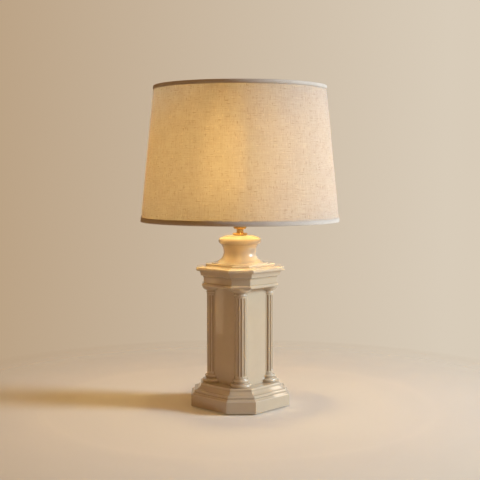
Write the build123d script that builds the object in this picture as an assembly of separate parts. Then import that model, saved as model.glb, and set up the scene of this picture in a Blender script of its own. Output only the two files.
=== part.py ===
from build123d import *
import math
import os

# Column table lamp: a hollow glazed ceramic pillar with four engaged fluted columns stands on a felt pad.
# A threaded rod runs up through it and carries the brass neck, the socket and the harp, and the harp
# carries a tapered linen shade, held by a finial.
# Millimetres, +Z up. The origin is on the floor, on the lamp's axis. The harp stands in the XZ plane,
# the four flat faces of the body look along X and Y, and the columns stand on the diagonals.

# ---- Ceramic body: pillar and columns ----
pillar_width = 92.0          # square core, across its flat walls
pillar_height = 198.8        # from the plinth's ledge to the underside of the architrave
wall = 6.5                   # slip-cast wall
cavity_corner_radius = 9.0   # upright inside corners of the hollow core
column_sink = 9.05           # how far a column's axis lies inside the core's corner
shaft_radius = 12.4
flute_count = 12             # round a whole shaft; the core covers nearly half of them
flute_radius = 2.45
flute_depth = 1.5
flute_end_margin = 3.0       # plain shaft above and below the flutes
lower_torus_radius = 22.0
lower_torus_height = 6.6
scotia_radius = 15.0
scotia_height = 2.8
upper_torus_radius = 16.4
upper_torus_height = 5.6
apophyge_height = 2.4        # the small flare between the base and the shaft
astragal_radius = 13.7
astragal_height = 3.6
necking_height = 2.6
echinus_radius = 21.3
echinus_height = 6.8
echinus_sag = 2.0
abacus_height = 2.4

# ---- Ceramic body: plinth ----
corner_cut = 8.6             # how much further out the corner faces stand than the long faces
ledge_margin = 2.0           # ledge left in front of a column's base
plinth_face_height = 25.0
edge_round = 2.0             # soft glazed arris of the big plain face
ledge_slope_width = 3.4      # sloping ledge on top of the plain face
ledge_slope_rise = 3.0
groove_depth = 1.4
groove_height = 1.4
bead_width = 1.5
bead_height = 4.4
cove_step = 2.0              # flat between the bead and the cove
cove_width = 8.6
cove_height = 7.4
cove_sag = 1.3               # a sag is how far a curve leaves the straight line between its ends
fillet_width = 1.4           # upright band that closes the cove at the top
fillet_height = 3.4
fillet_rise = 1.6
foot_wall = 10.0             # thickness of the foot ring under the plinth
shelf_width = 6.0            # ledge inside the foot that the bottom plate is pulled up against
shelf_height = 17.0          # the plate's seat, above the foot

# ---- Ceramic body: entablature ----
architrave_margin = 0.8      # how far the architrave oversails the capitals
architrave_height = 6.6
frieze_setback = 3.5
frieze_height = 10.4
frieze_cove_rise = 5.6       # small cove between frieze and band
frieze_cove_sag = 1.5
band_out = 5.6               # band over the cove, measured from the frieze
band_lean = 3.0
band_height = 9.6
band_sag = 0.5
corona_out = 6.6             # cornice nose, measured from the top of the band
corona_height = 7.6
corona_round = 1.8           # how far the nose bows out between its edges
weathering_width = 19.5      # the gentle slope on top of the cornice
weathering_rise = 2.5
blocking_height = 4.2        # low slab under the turned neck
blocking_round = 0.9

# ---- Ceramic body: turned neck ----
neck_margin = 3.2            # flat left on the slab round the neck's foot
neck_foot_height = 1.4
neck_waist_radius = 33.8
neck_waist_height = 25.0     # above the slab
neck_lip_radius = 39.4
neck_foot_heading = (-1, 0.12)   # way the neck's curve leaves the foot: outward, up
neck_lip_heading = (0.75, 1)     # and arrives at the lip
neck_lip_height = 38.4
rim_bottom_radius = 41.4
rim_bottom_height = 39.8
rim_sag = 2.7                # the rim's greatest radius is 44.2
rim_top_radius = 41.6
rim_top_height = 51.2
crown_sag = 1.9
crown_height = 57.5
crown_seat_radius = 17.0
crown_wall = 6.5
rod_hole_clearance = 0.7

# ---- Foot ----
felt_thickness = 3.0
felt_inset = 4.0             # leaves the dark shadow gap under the glazed edge
plate_thickness = 2.0
plate_clearance = 0.5
bottom_washer_radius = 16.0
washer_thickness = 1.6
nut_across_flats = 16.0
nut_height = 4.5
rod_tail = 2.5               # rod that shows below the bottom nut
inlet_radius = 5.0           # hole for the supply lead, in the rear face
inlet_height = 8.6           # its centre, above the foot
bushing_bore = 3.3
bushing_flange_radius = 7.2
bushing_flange_thickness = 1.4
bushing_clearance = 0.2

# ---- Rod and brass neck ----
rod_radius = 4.85
rod_bore = 3.2
thread_clearance = 0.15      # radial, rod in the pieces that it passes through
gasket_thickness = 0.6
gasket_radius = 13.0
check_ring_radius = 15.1
check_ring_height = 3.2
stem_radius = 7.0
stem_height = 8.2
cup_foot_radius = 10.6
cup_radius = 13.5
cup_height = 7.0
cup_flare_height = 3.4
cup_sag = 0.7

# ---- Harp and saddle ----
saddle_thickness = 1.6
saddle_width = 14.0
saddle_arm_width = 7.0
saddle_arm_height = 11.0
saddle_bend = 4.0
locknut_height = 3.5
leg_offset = 28.5            # harp leg to the lamp's axis
wire_radius = 2.0
stub_length = 14.0           # saddle stub above the arm
lap_length = 11.0            # half-lap between stub and leg, locked by the sleeve
lap_clearance = 0.1
seat_gap = 0.3               # end of a moving piece to its stop
sleeve_length = 20.0
sleeve_wall = 1.1
sleeve_clearance = 0.1
sleeve_travel = 20.0
harp_height = 267.0          # saddle's underside to the shoulder that carries the shade
harp_half_width = 58.0       # wire centre at the widest place
harp_waist_run = 2.0         # straight wire left above a raised sleeve
bow_height = 128.0           # widest place, above the saddle
crown_bend = 30.0            # small bend beside the harp's top
crown_flat = 10.0            # half of the flat top
pad_length = 18.0
pad_width = 9.0
pad_proud = 0.1              # pad's faces over the wire
stud_radius = 3.1
stud_clearance = 0.1
stud_length = 17.5           # above the shoulder
shoulder_radius = 9.0
shoulder_thickness = 2.5
rivet_radius = 4.6
rivet_height = 1.5

# ---- Socket ----
cap_collar_radius = 8.0
cap_collar_height = 7.5
cap_height = 20.0
cap_rim_height = 5.6         # upright rim over the spun curve
cap_sag = 1.6
socket_metal = 0.8
shell_radius = 15.95
shell_height = 43.0
shell_engagement = 4.0       # shell pushed down inside the cap
nest_gap = 0.3               # between the nested sleeves of the socket
liner_thickness = 0.8
screw_shell_thickness = 0.4
core_height = 14.0
core_flat = 10.6             # half width across the flats with the terminals
terminal_head_radius = 3.2
terminal_head_height = 1.6
terminal_shank_radius = 1.5
terminal_shank_length = 4.5
contact_width = 6.0
contact_thickness = 0.6
contact_rise = 1.9
rod_engagement = 7.0         # rod inside the cap's collar
set_screw_radius = 1.5
set_screw_head_radius = 2.6
set_screw_head_height = 2.0
shaft_rod_radius = 1.7       # switch shaft
shaft_depth = 8.0            # shaft inside the socket's core
shaft_running = 0.08
shaft_hole = 2.6
switch_height = 5.4          # switch axis, above the underside of the core
knob_neck_radius = 3.6
knob_radius = 5.4
knob_length = 15.0
knob_standoff = 3.0
knob_grip_length = 9.0
knob_end_round = 1.2
knob_fit = 0.05              # shaft in the knob
knob_groove_radius = 0.7
knob_groove_count = 12

# ---- Bulb ----
bulb_radius = 30.0
bulb_length = 105.5
bulb_neck_radius = 12.3
bulb_neck_heading = (0.12, 1)    # way the glass leaves the base: outward, up
glass_thickness = 0.8
base_radius = 13.0
base_height = 22.5
base_metal = 0.35
insulator_height = 3.5
insulator_foot_radius = 6.2
bulb_contact_radius = 4.6
bulb_contact_height = 1.0
flare_radius = 9.0
flare_height = 9.0
mount_rod_radius = 2.4
mount_rod_height = 33.0
lead_radius = 0.45
filament_radius = 0.7
filament_half_width = 12.0
filament_rise = 16.0

# ---- Shade ----
shade_bottom_radius = 203.2
shade_top_radius = 175.8
shade_height = 274.0
spider_drop = 13.0           # shade's top ring above the spider's hub
trim_thickness = 0.6
trim_gap = 0.2
top_trim_height = 8.0
bottom_trim_height = 9.5
trim_turn_in = 7.0           # how far the tape comes back up the inside
fabric_thickness = 0.7
liner_gap = 0.15
backing_thickness = 0.6
edge_gap = 0.3               # cloth's edge to the fold of the tape
ring_wire = 1.5
ring_gap = 0.25
arm_count = 3
arm_wire = 1.75
arm_end_gap = 0.5           # arm's end to the harp's shoulder, seen from above
hub_thickness = 2.0
running_gap = 0.2

# ---- Finial ----
finial_margin = 0.6          # shoulder that shows round the finial's foot
finial_edge = 1.2
finial_foot_height = 3.4
finial_foot_sag = 0.9
finial_neck_radius = 4.6
finial_neck_height = 1.4
finial_ball_height = 13.2
finial_ball_sag = 3.0
finial_tip_radius = 2.4
finial_tip_height = 4.0
stud_end_gap = 0.6           # air over the stud's end

# ---- How finely turned pieces and wires are faceted ----
turning_steps = 3            # chords in each small curve of a turned outline
large_turning_steps = 8      # chords in the neck's sweep and each half of the bulb
ring_sides = 8               # sides of the shade rings' section

# ---- Levels and distances that follow from the sizes ----
foot_z = felt_thickness
plinth_z = foot_z + plinth_face_height
moulding_height = (ledge_slope_rise + groove_height + bead_height + cove_height + fillet_height + fillet_rise)
ledge_z = plinth_z + moulding_height
architrave_z = ledge_z + pillar_height
frieze_z = architrave_z + architrave_height
frieze_top_z = frieze_z + frieze_height
band_z = frieze_top_z + frieze_cove_rise
corona_z = band_z + band_height
weathering_z = corona_z + corona_height
blocking_z = weathering_z + weathering_rise
neck_z = blocking_z + blocking_height
crown_z = neck_z + crown_height
shelf_z = foot_z + shelf_height

column_reach = pillar_width / math.sqrt(2) - column_sink
moulding_out = (edge_round + ledge_slope_width + groove_depth + bead_width
                + cove_step + cove_width + fillet_width)
ledge_reach = column_reach + lower_torus_radius + ledge_margin
plinth_reach = ledge_reach + moulding_out
architrave_reach = column_reach + echinus_radius + architrave_margin
frieze_reach = architrave_reach - frieze_setback
blocking_reach = frieze_reach + band_out + band_lean + corona_out - weathering_width
neck_foot_radius = blocking_reach - corner_cut - neck_margin

nut_z = shelf_z - plate_thickness - washer_thickness - nut_height
rod_bottom_z = nut_z - rod_tail
check_ring_z = crown_z + gasket_thickness
stem_z = check_ring_z + check_ring_height
cup_z = stem_z + stem_height
saddle_z = cup_z + cup_height
locknut_z = saddle_z + saddle_thickness
cap_z = locknut_z + locknut_height
rod_top_z = cap_z + rod_engagement
bore_radius = rod_radius + thread_clearance

arm_top_z = saddle_z + saddle_arm_height
stub_top_z = arm_top_z + stub_length
lap_z = stub_top_z - lap_length
sleeve_z = arm_top_z + seat_gap
leg_bend_z = sleeve_z + sleeve_length + sleeve_travel + harp_waist_run
bow_z = saddle_z + bow_height
shoulder_z = saddle_z + harp_height
pad_thickness = 2 * (wire_radius + pad_proud)
harp_top_z = shoulder_z - shoulder_thickness - pad_thickness / 2
hub_reach = shoulder_radius + arm_end_gap
hub_radius = hub_reach + 2 * arm_wire
hub_z = shoulder_z + running_gap
finial_foot_radius = shoulder_radius - finial_margin
finial_z = hub_z + hub_thickness + running_gap

shell_z = cap_z + cap_height - shell_engagement
shell_inner = shell_radius - socket_metal
liner_outer = shell_inner - nest_gap
liner_inner = liner_outer - liner_thickness
screw_shell_outer = liner_inner - nest_gap
screw_shell_inner = screw_shell_outer - screw_shell_thickness
cap_inner = shell_radius + thread_clearance
cap_outer = cap_inner + socket_metal
core_z = shell_z + nest_gap
core_top_z = core_z + core_height
switch_z = core_z + switch_height
knob_start = shell_radius + knob_standoff
knob_bore_end = knob_start + knob_length / 2
bulb_z = core_top_z + contact_rise + seat_gap
insulator_z = bulb_z + bulb_contact_height
can_z = insulator_z + insulator_height
can_top_z = can_z + base_height
globe_z = bulb_z + bulb_length - bulb_radius

shade_top_z = hub_z + spider_drop + ring_wire + ring_gap + edge_gap + trim_thickness
shade_bottom_z = shade_top_z - shade_height
shade_taper = (shade_bottom_radius - shade_top_radius) / shade_height
taper_secant = math.hypot(1, shade_taper)
fabric_inset = trim_thickness + trim_gap
backing_inset = fabric_inset + fabric_thickness + liner_gap
ring_inset = backing_inset + backing_thickness + ring_gap
turn_in_inset = ring_inset + 2 * ring_wire + ring_gap


# ---- Small helpers ----
# A solid that stands on its origin, or hangs under it, instead of being centred on it.
standing = (Align.CENTER, Align.CENTER, Align.MIN)
hanging = (Align.CENTER, Align.CENTER, Align.MAX)


def on_axis(radius, height, low_z):
    """Upright cylinder that stands on low_z."""
    return Pos(0, 0, low_z) * Cylinder(radius, height, align=standing)


def tube(inner, outer, height, low_z):
    """Upright tube or flat ring."""
    return on_axis(outer, height, low_z) - on_axis(inner, height, low_z)


def turned(outline, steps=turning_steps):
    """Turned piece: a closed outline of radius and height, spun about the axis.

    Each curve of the outline becomes a few chords, which keeps the piece light.
    """
    chords = []
    for line in outline:
        count = 1 if line.geom_type == GeomType.LINE else steps
        points = [line @ (step / count) for step in range(count + 1)]
        chords += [Line(a, b) for a, b in zip(points, points[1:])]
    return revolve(Plane.XZ * make_face(chords), Axis.Z)


def bowed(start, end, out):
    """Arc between two points of an outline that leaves its chord by out, to the right of its run."""
    run = Vector(*end) - Vector(*start)
    side = Vector(run.Y, -run.X).normalized() * out
    middle = (Vector(*start) + Vector(*end)) / 2 + side
    return ThreePointArc(start, middle, end)


def turned_points(points):
    """Turned piece with a straight-sided outline."""
    return turned([Line(a, b) for a, b in zip(points, points[1:] + points[:1])])


def octagon_face(reach, at_z):
    """The body's plan: a square with chamfered corners, reach measured to a chamfer."""
    square = Rectangle(2 * (reach - corner_cut), 2 * (reach - corner_cut))
    return Pos(0, 0, at_z) * (square & Rot(0, 0, 45) * Rectangle(2 * reach, 2 * reach))


def octagon(reach, low_z, height):
    """Prism on the body's plan."""
    return extrude(octagon_face(reach, low_z), height)


def hexagon_nut(low_z, height):
    """Plain hexagon nut on the rod."""
    blank = extrude(RegularPolygon(nut_across_flats / 2, 6, major_radius=False), height)
    return Pos(0, 0, low_z) * blank - on_axis(bore_radius, height, low_z)


# ---- Ceramic body ----
def mirrored_face(edges, low_z, high_z):
    """Closed outline from the right-hand edges, their mirror images, and straight ends."""
    start = edges[0] @ 0
    end = edges[-1] @ 1
    left = [edge.mirror(Plane.YZ) for edge in edges]
    low = Line((-start.X, low_z), (start.X, low_z))
    high = Line((-end.X, high_z), (end.X, high_z))
    return make_face(edges + left + [low, high])


def plinth_profile(reach):
    """Plinth and its stepped mouldings; reach is the ledge's distance from the axis on this side."""
    face = reach + moulding_out
    groove_x = face - edge_round - ledge_slope_width - groove_depth
    bead_x = groove_x + groove_depth / 2
    cove_x = groove_x - bead_width - cove_step
    fillet_x = cove_x - cove_width
    groove_z = plinth_z + ledge_slope_rise
    bead_z = groove_z + groove_height
    bead_top_z = bead_z + bead_height
    cove_top_z = bead_top_z + cove_height
    fillet_top_z = cove_top_z + fillet_height
    quarter_sag = edge_round * (1 - math.sqrt(0.5))
    edges = [
        Line((face - edge_round / 2, foot_z), (face, foot_z + edge_round / 2)),
        Line((face, foot_z + edge_round / 2), (face, plinth_z - edge_round)),
        bowed((face, plinth_z - edge_round), (face - edge_round, plinth_z), quarter_sag),
        Line((face - edge_round, plinth_z), (face - edge_round - ledge_slope_width, groove_z)),
        Line((face - edge_round - ledge_slope_width, groove_z), (groove_x, groove_z)),
        Line((groove_x, groove_z), (groove_x, bead_z)),
        Line((groove_x, bead_z), (bead_x, bead_z)),
        bowed((bead_x, bead_z), (groove_x - bead_width, bead_top_z), bead_width / 2),
        Line((groove_x - bead_width, bead_top_z), (cove_x, bead_top_z)),
        bowed((cove_x, bead_top_z), (fillet_x, cove_top_z), -cove_sag),
        Line((fillet_x, cove_top_z), (fillet_x, fillet_top_z)),
        Line((fillet_x, fillet_top_z), (reach, ledge_z)),
    ]
    return mirrored_face(edges, foot_z, ledge_z)


def entablature_profile(reach):
    """Architrave, frieze, cornice and slab; reach is the architrave's distance on this side."""
    frieze_x = reach - frieze_setback
    band_x = frieze_x + band_out
    band_top_x = band_x + band_lean
    nose_x = band_top_x + corona_out
    slab_x = nose_x - weathering_width
    bow = architrave_height / 4
    edges = [
        bowed((reach - bow, architrave_z), (reach - bow, frieze_z), bow),
        Line((reach - bow, frieze_z), (frieze_x, frieze_z)),
        Line((frieze_x, frieze_z), (frieze_x, frieze_top_z)),
        bowed((frieze_x, frieze_top_z), (band_x, band_z), -frieze_cove_sag),
        bowed((band_x, band_z), (band_top_x, corona_z), -band_sag),
        Line((band_top_x, corona_z), (nose_x - corona_round, corona_z)),
        bowed((nose_x - corona_round, corona_z), (nose_x - corona_round, weathering_z), corona_round),
        Line((nose_x - corona_round, weathering_z), (slab_x, blocking_z)),
        Line((slab_x, blocking_z), (slab_x, neck_z - blocking_round)),
        Line((slab_x, neck_z - blocking_round), (slab_x - blocking_round, neck_z)),
    ]
    return mirrored_face(edges, architrave_z, neck_z)


def moulded_block(profile, reach):
    """Mouldings that run round all eight sides with true mitres.

    Each pair of opposite sides is one long extrusion of the profile, and the block is what the four
    extrusions share, so at every height its plan is the same octagon, set in by the same amount.
    """
    block = None
    for turn, side_reach in ((0, reach - corner_cut), (90, reach - corner_cut), (45, reach), (135, reach)):
        extrusion = Rot(0, 0, turn) * extrude(Plane.XZ * profile(side_reach), 2 * plinth_reach, both=True)
        block = extrusion if block is None else block & extrusion
    return block


def column():
    """One column: torus, scotia, torus, fluted shaft, astragal, echinus and a round abacus."""
    scotia_z = ledge_z + lower_torus_height
    torus_z = scotia_z + scotia_height
    flare_z = torus_z + upper_torus_height
    shaft_z = flare_z + apophyge_height
    abacus_z = architrave_z - abacus_height
    echinus_z = abacus_z - echinus_height
    necking_z = echinus_z - necking_height
    astragal_z = necking_z - astragal_height
    lower_bow = lower_torus_height / 4
    upper_bow = upper_torus_height / 4
    lower_x = lower_torus_radius - lower_bow
    upper_x = upper_torus_radius - upper_bow
    astragal_bow = astragal_radius - shaft_radius
    outline = [
        Line((0, ledge_z), (lower_x, ledge_z)),
        bowed((lower_x, ledge_z), (lower_x, scotia_z), lower_bow),
        Line((lower_x, scotia_z), (scotia_radius, scotia_z)),
        Line((scotia_radius, scotia_z), (scotia_radius, torus_z)),
        bowed((scotia_radius, torus_z), (upper_x, flare_z), upper_bow),
        Line((upper_x, flare_z), (shaft_radius + apophyge_height / 2, flare_z)),
        Line((shaft_radius + apophyge_height / 2, flare_z), (shaft_radius, shaft_z)),
        Line((shaft_radius, shaft_z), (shaft_radius, astragal_z)),
        bowed((shaft_radius, astragal_z), (shaft_radius, necking_z), astragal_bow),
        Line((shaft_radius, necking_z), (shaft_radius, echinus_z)),
        bowed((shaft_radius, echinus_z), (echinus_radius, abacus_z), echinus_sag),
        Line((echinus_radius, abacus_z), (echinus_radius, architrave_z)),
        Line((echinus_radius, architrave_z), (0, architrave_z)),
        Line((0, architrave_z), (0, ledge_z)),
    ]
    shaft = turned(outline)
    flute_axis = shaft_radius + flute_radius - flute_depth
    flute_z = shaft_z + flute_end_margin
    flute_length = astragal_z - flute_end_margin - flute_z
    flute = on_axis(flute_radius, flute_length, flute_z)
    return shaft - [Rot(0, 0, 360 / flute_count * step) * Pos(flute_axis, 0, 0) * flute
                    for step in range(flute_count)]


def neck_solid():
    """Turned neck: a spreading foot, a waist, a lip and a rounded rim under a low crown."""
    foot = (neck_foot_radius, neck_z + neck_foot_height)
    waist = (neck_waist_radius, neck_z + neck_waist_height)
    lip = (neck_lip_radius, neck_z + neck_lip_height)
    rim_low = (rim_bottom_radius, neck_z + rim_bottom_height)
    rim_high = (rim_top_radius, neck_z + rim_top_height)
    seat = (crown_seat_radius, crown_z)
    return turned([
        Line((0, neck_z), (neck_foot_radius, neck_z)),
        Line((neck_foot_radius, neck_z), foot),
        Spline(foot, waist, lip, tangents=[neck_foot_heading, neck_lip_heading]),
        Line(lip, rim_low),
        bowed(rim_low, rim_high, rim_sag),
        bowed(rim_high, seat, crown_sag),
        Line(seat, (0, crown_z)),
        Line((0, crown_z), (0, neck_z)),
    ], large_turning_steps)


def body_cavity():
    """Hollow left by slip casting: the foot, a shelf for the plate, the core, and the neck."""
    opening_reach = plinth_reach - foot_wall
    shelf_reach = opening_reach - shelf_width
    throat_z = ledge_z - wall
    core_top = neck_z - wall
    inside = pillar_width - 2 * wall
    foot = octagon(opening_reach, foot_z, shelf_height)
    over_shelf = octagon(shelf_reach, shelf_z, plinth_z - shelf_z)
    cone = loft([octagon_face(shelf_reach, plinth_z), octagon_face(ledge_reach - wall, throat_z)], ruled=True)
    core_plan = RectangleRounded(inside, inside, cavity_corner_radius)
    core = Pos(0, 0, throat_z) * extrude(core_plan, core_top - throat_z)
    neck = turned_points([
        (0, core_top - wall),
        (inside / 2, core_top - wall),
        (inside / 2, core_top),
        (neck_waist_radius - wall, neck_z + neck_waist_height - wall),
        (neck_waist_radius - wall, neck_z + neck_waist_height + wall / 2),
        (neck_lip_radius - wall, neck_z + neck_lip_height),
        (rim_top_radius + rim_sag - 1.5 * wall, neck_z + (rim_bottom_height + rim_top_height) / 2),
        (crown_seat_radius, crown_z - crown_wall),
        (0, crown_z - crown_wall),
    ])
    hole = on_axis(rod_radius + rod_hole_clearance, crown_wall + 2 * wall, crown_z - crown_wall - wall)
    return foot + over_shelf + cone + core + neck + hole


def inlet(radius, inner_y, outer_y):
    """Cylinder along Y at the lead's inlet, in the middle of the rear face."""
    length = outer_y - inner_y
    bore = Cylinder(radius, length, align=standing)
    return Pos(0, inner_y, foot_z + inlet_height) * Rot(-90, 0, 0) * bore


def ceramic_body():
    """Hollow ceramic body: moulded plinth, core, four engaged columns, entablature and neck."""
    body = moulded_block(plinth_profile, ledge_reach)
    body += Pos(0, 0, ledge_z) * Box(pillar_width, pillar_width, pillar_height, align=standing)
    upright = column()
    body += [Rot(0, 0, 45 + 90 * corner) * Pos(column_reach, 0, 0) * upright for corner in range(4)]
    body += moulded_block(entablature_profile, architrave_reach)
    body += neck_solid()
    body -= body_cavity()
    face_y = plinth_reach - corner_cut
    return body - inlet(inlet_radius, face_y - 2 * foot_wall, face_y + foot_wall)


# ---- Foot ----
def felt_pad():
    """Felt under the foot; the glazed edge stands out over it."""
    return octagon(plinth_reach - felt_inset, 0, felt_thickness)


def bottom_plate():
    """Steel plate pulled up against the shelf by the rod's nut."""
    plate = octagon(plinth_reach - foot_wall - plate_clearance, shelf_z - plate_thickness, plate_thickness)
    return plate - on_axis(bore_radius, plate_thickness, shelf_z - plate_thickness)


def cord_bushing():
    """Moulded bushing pressed into the inlet from outside, empty."""
    face_y = plinth_reach - corner_cut
    body = inlet(inlet_radius - bushing_clearance, face_y - foot_wall, face_y)
    flange = inlet(bushing_flange_radius, face_y, face_y + bushing_flange_thickness)
    rounded = chamfer(flange.edges().sort_by(Axis.Y)[-1], bushing_flange_thickness / 2)
    bore = inlet(bushing_bore, face_y - 2 * foot_wall, face_y + foot_wall)
    return rounded + body - bore


# ---- Brass neck ----
def check_ring():
    """Flat brass ring that covers the hole in the crown, with its edge broken."""
    ring = on_axis(check_ring_radius, check_ring_height, check_ring_z)
    ring = chamfer(ring.edges().group_by(Axis.Z)[-1], check_ring_height / 3)
    return ring - on_axis(bore_radius, check_ring_height, check_ring_z)


def neck_cup():
    """Turned cup under the saddle: a small foot that flares into a straight rim."""
    flare_z = cup_z + cup_flare_height
    return turned([
        Line((bore_radius, cup_z), (cup_foot_radius, cup_z)),
        bowed((cup_foot_radius, cup_z), (cup_radius, flare_z), cup_sag),
        Line((cup_radius, flare_z), (cup_radius, saddle_z)),
        Line((cup_radius, saddle_z), (bore_radius, saddle_z)),
        Line((bore_radius, saddle_z), (bore_radius, cup_z)),
    ])


# ---- Harp ----
def half_round(side, low_z, length):
    """Half of a wire's end, on the outer side of the leg for side 1 and the inner for side -1."""
    rod = on_axis(wire_radius, length, low_z)
    keep = Box(2 * wire_radius, 2 * wire_radius, length, align=standing)
    return rod & Pos(side * (wire_radius + lap_clearance), 0, low_z) * keep


def harp_saddle():
    """Steel strip bent up at both ends, with a half-lapped stub for each leg of the harp."""
    outer = leg_offset + saddle_thickness / 2
    inner = leg_offset - saddle_thickness / 2
    bend_in = saddle_bend - saddle_thickness
    floor_z = saddle_z + saddle_thickness
    channel = Pos(0, 0, saddle_z) * extrude(
        Plane.XZ * Pos(0, saddle_arm_height / 2) * Rectangle(2 * outer, saddle_arm_height),
        saddle_width / 2, both=True)
    channel = fillet(channel.edges().filter_by(Axis.Y).group_by(Axis.Z)[0], saddle_bend)
    hollow = Pos(0, 0, floor_z) * extrude(
        Plane.XZ * Pos(0, saddle_arm_height) * Rectangle(2 * inner, 2 * saddle_arm_height),
        saddle_width, both=True)
    hollow = fillet(hollow.edges().filter_by(Axis.Y).group_by(Axis.Z)[0], bend_in)
    strip = channel - hollow
    waist = (saddle_width - saddle_arm_width) / 2
    for side in (-1, 1):
        for edge in (-1, 1):
            cut = Box(saddle_thickness * 3, waist, saddle_arm_height, align=standing)
            strip -= Pos(side * leg_offset, edge * (saddle_width - waist) / 2, saddle_z + saddle_bend) * cut
        round_length = lap_z - arm_top_z
        strip += Pos(side * leg_offset, 0, 0) * on_axis(wire_radius, round_length, arm_top_z)
        strip += Pos(side * leg_offset, 0, 0) * half_round(side, lap_z, lap_length)
    return strip - on_axis(bore_radius, saddle_thickness, saddle_z)


def harp_side():
    """Centre line of the harp's right half: straight leg, S-bend out to the bow, two arcs in to the top.

    The S-bend is two equal arcs, whose turn t obeys tan(t/2) = out/up. The bow's two arcs meet where
    their headings agree: tan(t/2) = (in - r)/(up - r), for a small arc of radius r.
    """
    out = harp_half_width - leg_offset
    up = bow_z - leg_bend_z
    turn = 2 * math.degrees(math.atan2(out, up))
    bend = up / (2 * math.sin(math.radians(turn)))
    inward = harp_half_width - crown_flat - crown_bend
    rise = harp_top_z - bow_z - crown_bend
    big_turn = 2 * math.degrees(math.atan2(inward, rise))
    big_bend = crown_bend + rise / math.sin(math.radians(big_turn))
    leg = Line((leg_offset, stub_top_z + seat_gap), (leg_offset, leg_bend_z))
    lower = JernArc(start=leg @ 1, tangent=leg % 1, radius=bend, arc_size=-turn)
    upper = JernArc(start=lower @ 1, tangent=lower % 1, radius=bend, arc_size=turn)
    bow = JernArc(start=upper @ 1, tangent=upper % 1, radius=big_bend, arc_size=big_turn)
    shoulder = JernArc(start=bow @ 1, tangent=bow % 1, radius=crown_bend, arc_size=90 - big_turn)
    flat = Line(shoulder @ 1, (0, (shoulder @ 1).Y))
    return [leg, lower, upper, bow, shoulder, flat]


def harp_wire():
    """Bent wire harp with half-lapped feet and a flattened pad that holds the stud."""
    line = Plane.XZ * Wire(harp_side())
    section = Plane(origin=line @ 0, z_dir=line % 0) * Circle(wire_radius)
    half = sweep(section, path=line)
    half += Pos(leg_offset, 0, 0) * half_round(-1, lap_z + seat_gap, lap_length)
    pad = Pos(0, 0, harp_top_z) * Box(pad_length, pad_width, pad_thickness)
    pad = fillet(pad.edges().filter_by(Axis.Z), pad_width / 3)
    harp = half + half.mirror(Plane.YZ) + pad
    return harp - on_axis(stud_radius + stud_clearance, 2 * pad_thickness, harp_top_z - pad_thickness)


def harp_stud():
    """Threaded stud riveted through the pad, with the shoulder that the spider turns on."""
    rivet_z = harp_top_z - pad_thickness / 2 - rivet_height
    stud = on_axis(stud_radius, shoulder_z + stud_length - rivet_z, rivet_z)
    stud += on_axis(rivet_radius, rivet_height, rivet_z)
    return stud + on_axis(shoulder_radius, shoulder_thickness, shoulder_z - shoulder_thickness)


def sleeve(side):
    """Sleeve that slides down over a stub and its leg and locks the half-lap."""
    inner = wire_radius + sleeve_clearance
    return Pos(side * leg_offset, 0, 0) * tube(inner, inner + sleeve_wall, sleeve_length, sleeve_z)


# ---- Socket ----
def socket_cap():
    """Spun brass cap with a threaded collar on the rod."""
    collar_top = cap_z + cap_collar_height
    top = cap_z + cap_height
    rim_z = top - cap_rim_height
    floor_z = collar_top + socket_metal
    outside = turned([
        Line((0, cap_z), (cap_collar_radius, cap_z)),
        Line((cap_collar_radius, cap_z), (cap_collar_radius, collar_top)),
        bowed((cap_collar_radius, collar_top), (cap_outer, rim_z), cap_sag),
        Line((cap_outer, rim_z), (cap_outer, top)),
        Line((cap_outer, top), (0, top)),
        Line((0, top), (0, cap_z)),
    ])
    hollow = turned([
        Line((0, floor_z), (cap_collar_radius - socket_metal, floor_z)),
        bowed((cap_collar_radius - socket_metal, floor_z), (cap_inner, rim_z), cap_sag),
        Line((cap_inner, rim_z), (cap_inner, top)),
        Line((cap_inner, top), (0, top)),
        Line((0, top), (0, floor_z)),
    ])
    cap = outside - hollow - on_axis(bore_radius, cap_height, cap_z)
    screw_hole = Pos(0, 0, cap_z + cap_collar_height / 2) * Rot(-90, 0, 0) * Cylinder(
        set_screw_radius + thread_clearance, 2 * cap_collar_radius,
        align=standing)
    return cap - screw_hole


def socket_set_screw():
    """Small screw in the collar that stops the socket turning on the rod."""
    tip_y = rod_radius + seat_gap
    head_y = cap_collar_radius + seat_gap
    shank = Pos(0, tip_y, 0) * Rot(-90, 0, 0) * Cylinder(
        set_screw_radius, head_y - tip_y, align=standing)
    head = Pos(0, head_y, 0) * Rot(-90, 0, 0) * Cylinder(
        set_screw_head_radius, set_screw_head_height, align=standing)
    slot = Pos(0, head_y + set_screw_head_height, 0) * Box(
        2 * set_screw_head_radius, set_screw_head_height, set_screw_radius / 2)
    return Pos(0, 0, cap_z + cap_collar_height / 2) * (shank + head - slot)


def switch_bore(radius, inner, outer):
    """Cylinder on the switch's axis, towards the front, from inner to outer distance."""
    bore = Cylinder(radius, outer - inner, align=standing)
    return Pos(0, -inner, switch_z) * Rot(90, 0, 0) * bore


def socket_shell():
    """Brass shell pushed into the cap, with a rolled mouth and a hole for the switch."""
    shell = tube(shell_inner, shell_radius, shell_height, shell_z)
    mouth_z = shell_z + shell_height - 2 * socket_metal
    shell += tube(shell_inner, shell_radius + socket_metal, 2 * socket_metal, mouth_z)
    return shell - switch_bore(shaft_hole, 0, 2 * shell_radius)


def socket_liner():
    """Card sleeve that keeps the live screw shell off the brass."""
    liner = tube(liner_inner, liner_outer, shell_height - nest_gap, shell_z + nest_gap)
    return liner - switch_bore(shaft_hole, 0, 2 * shell_radius)


def terminal(side):
    """Where a terminal screw sits: on a flat at the side of the core."""
    return Pos(side * core_flat, 0, core_z + core_height / 2) * Rot(0, side * 90, 0)


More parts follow.
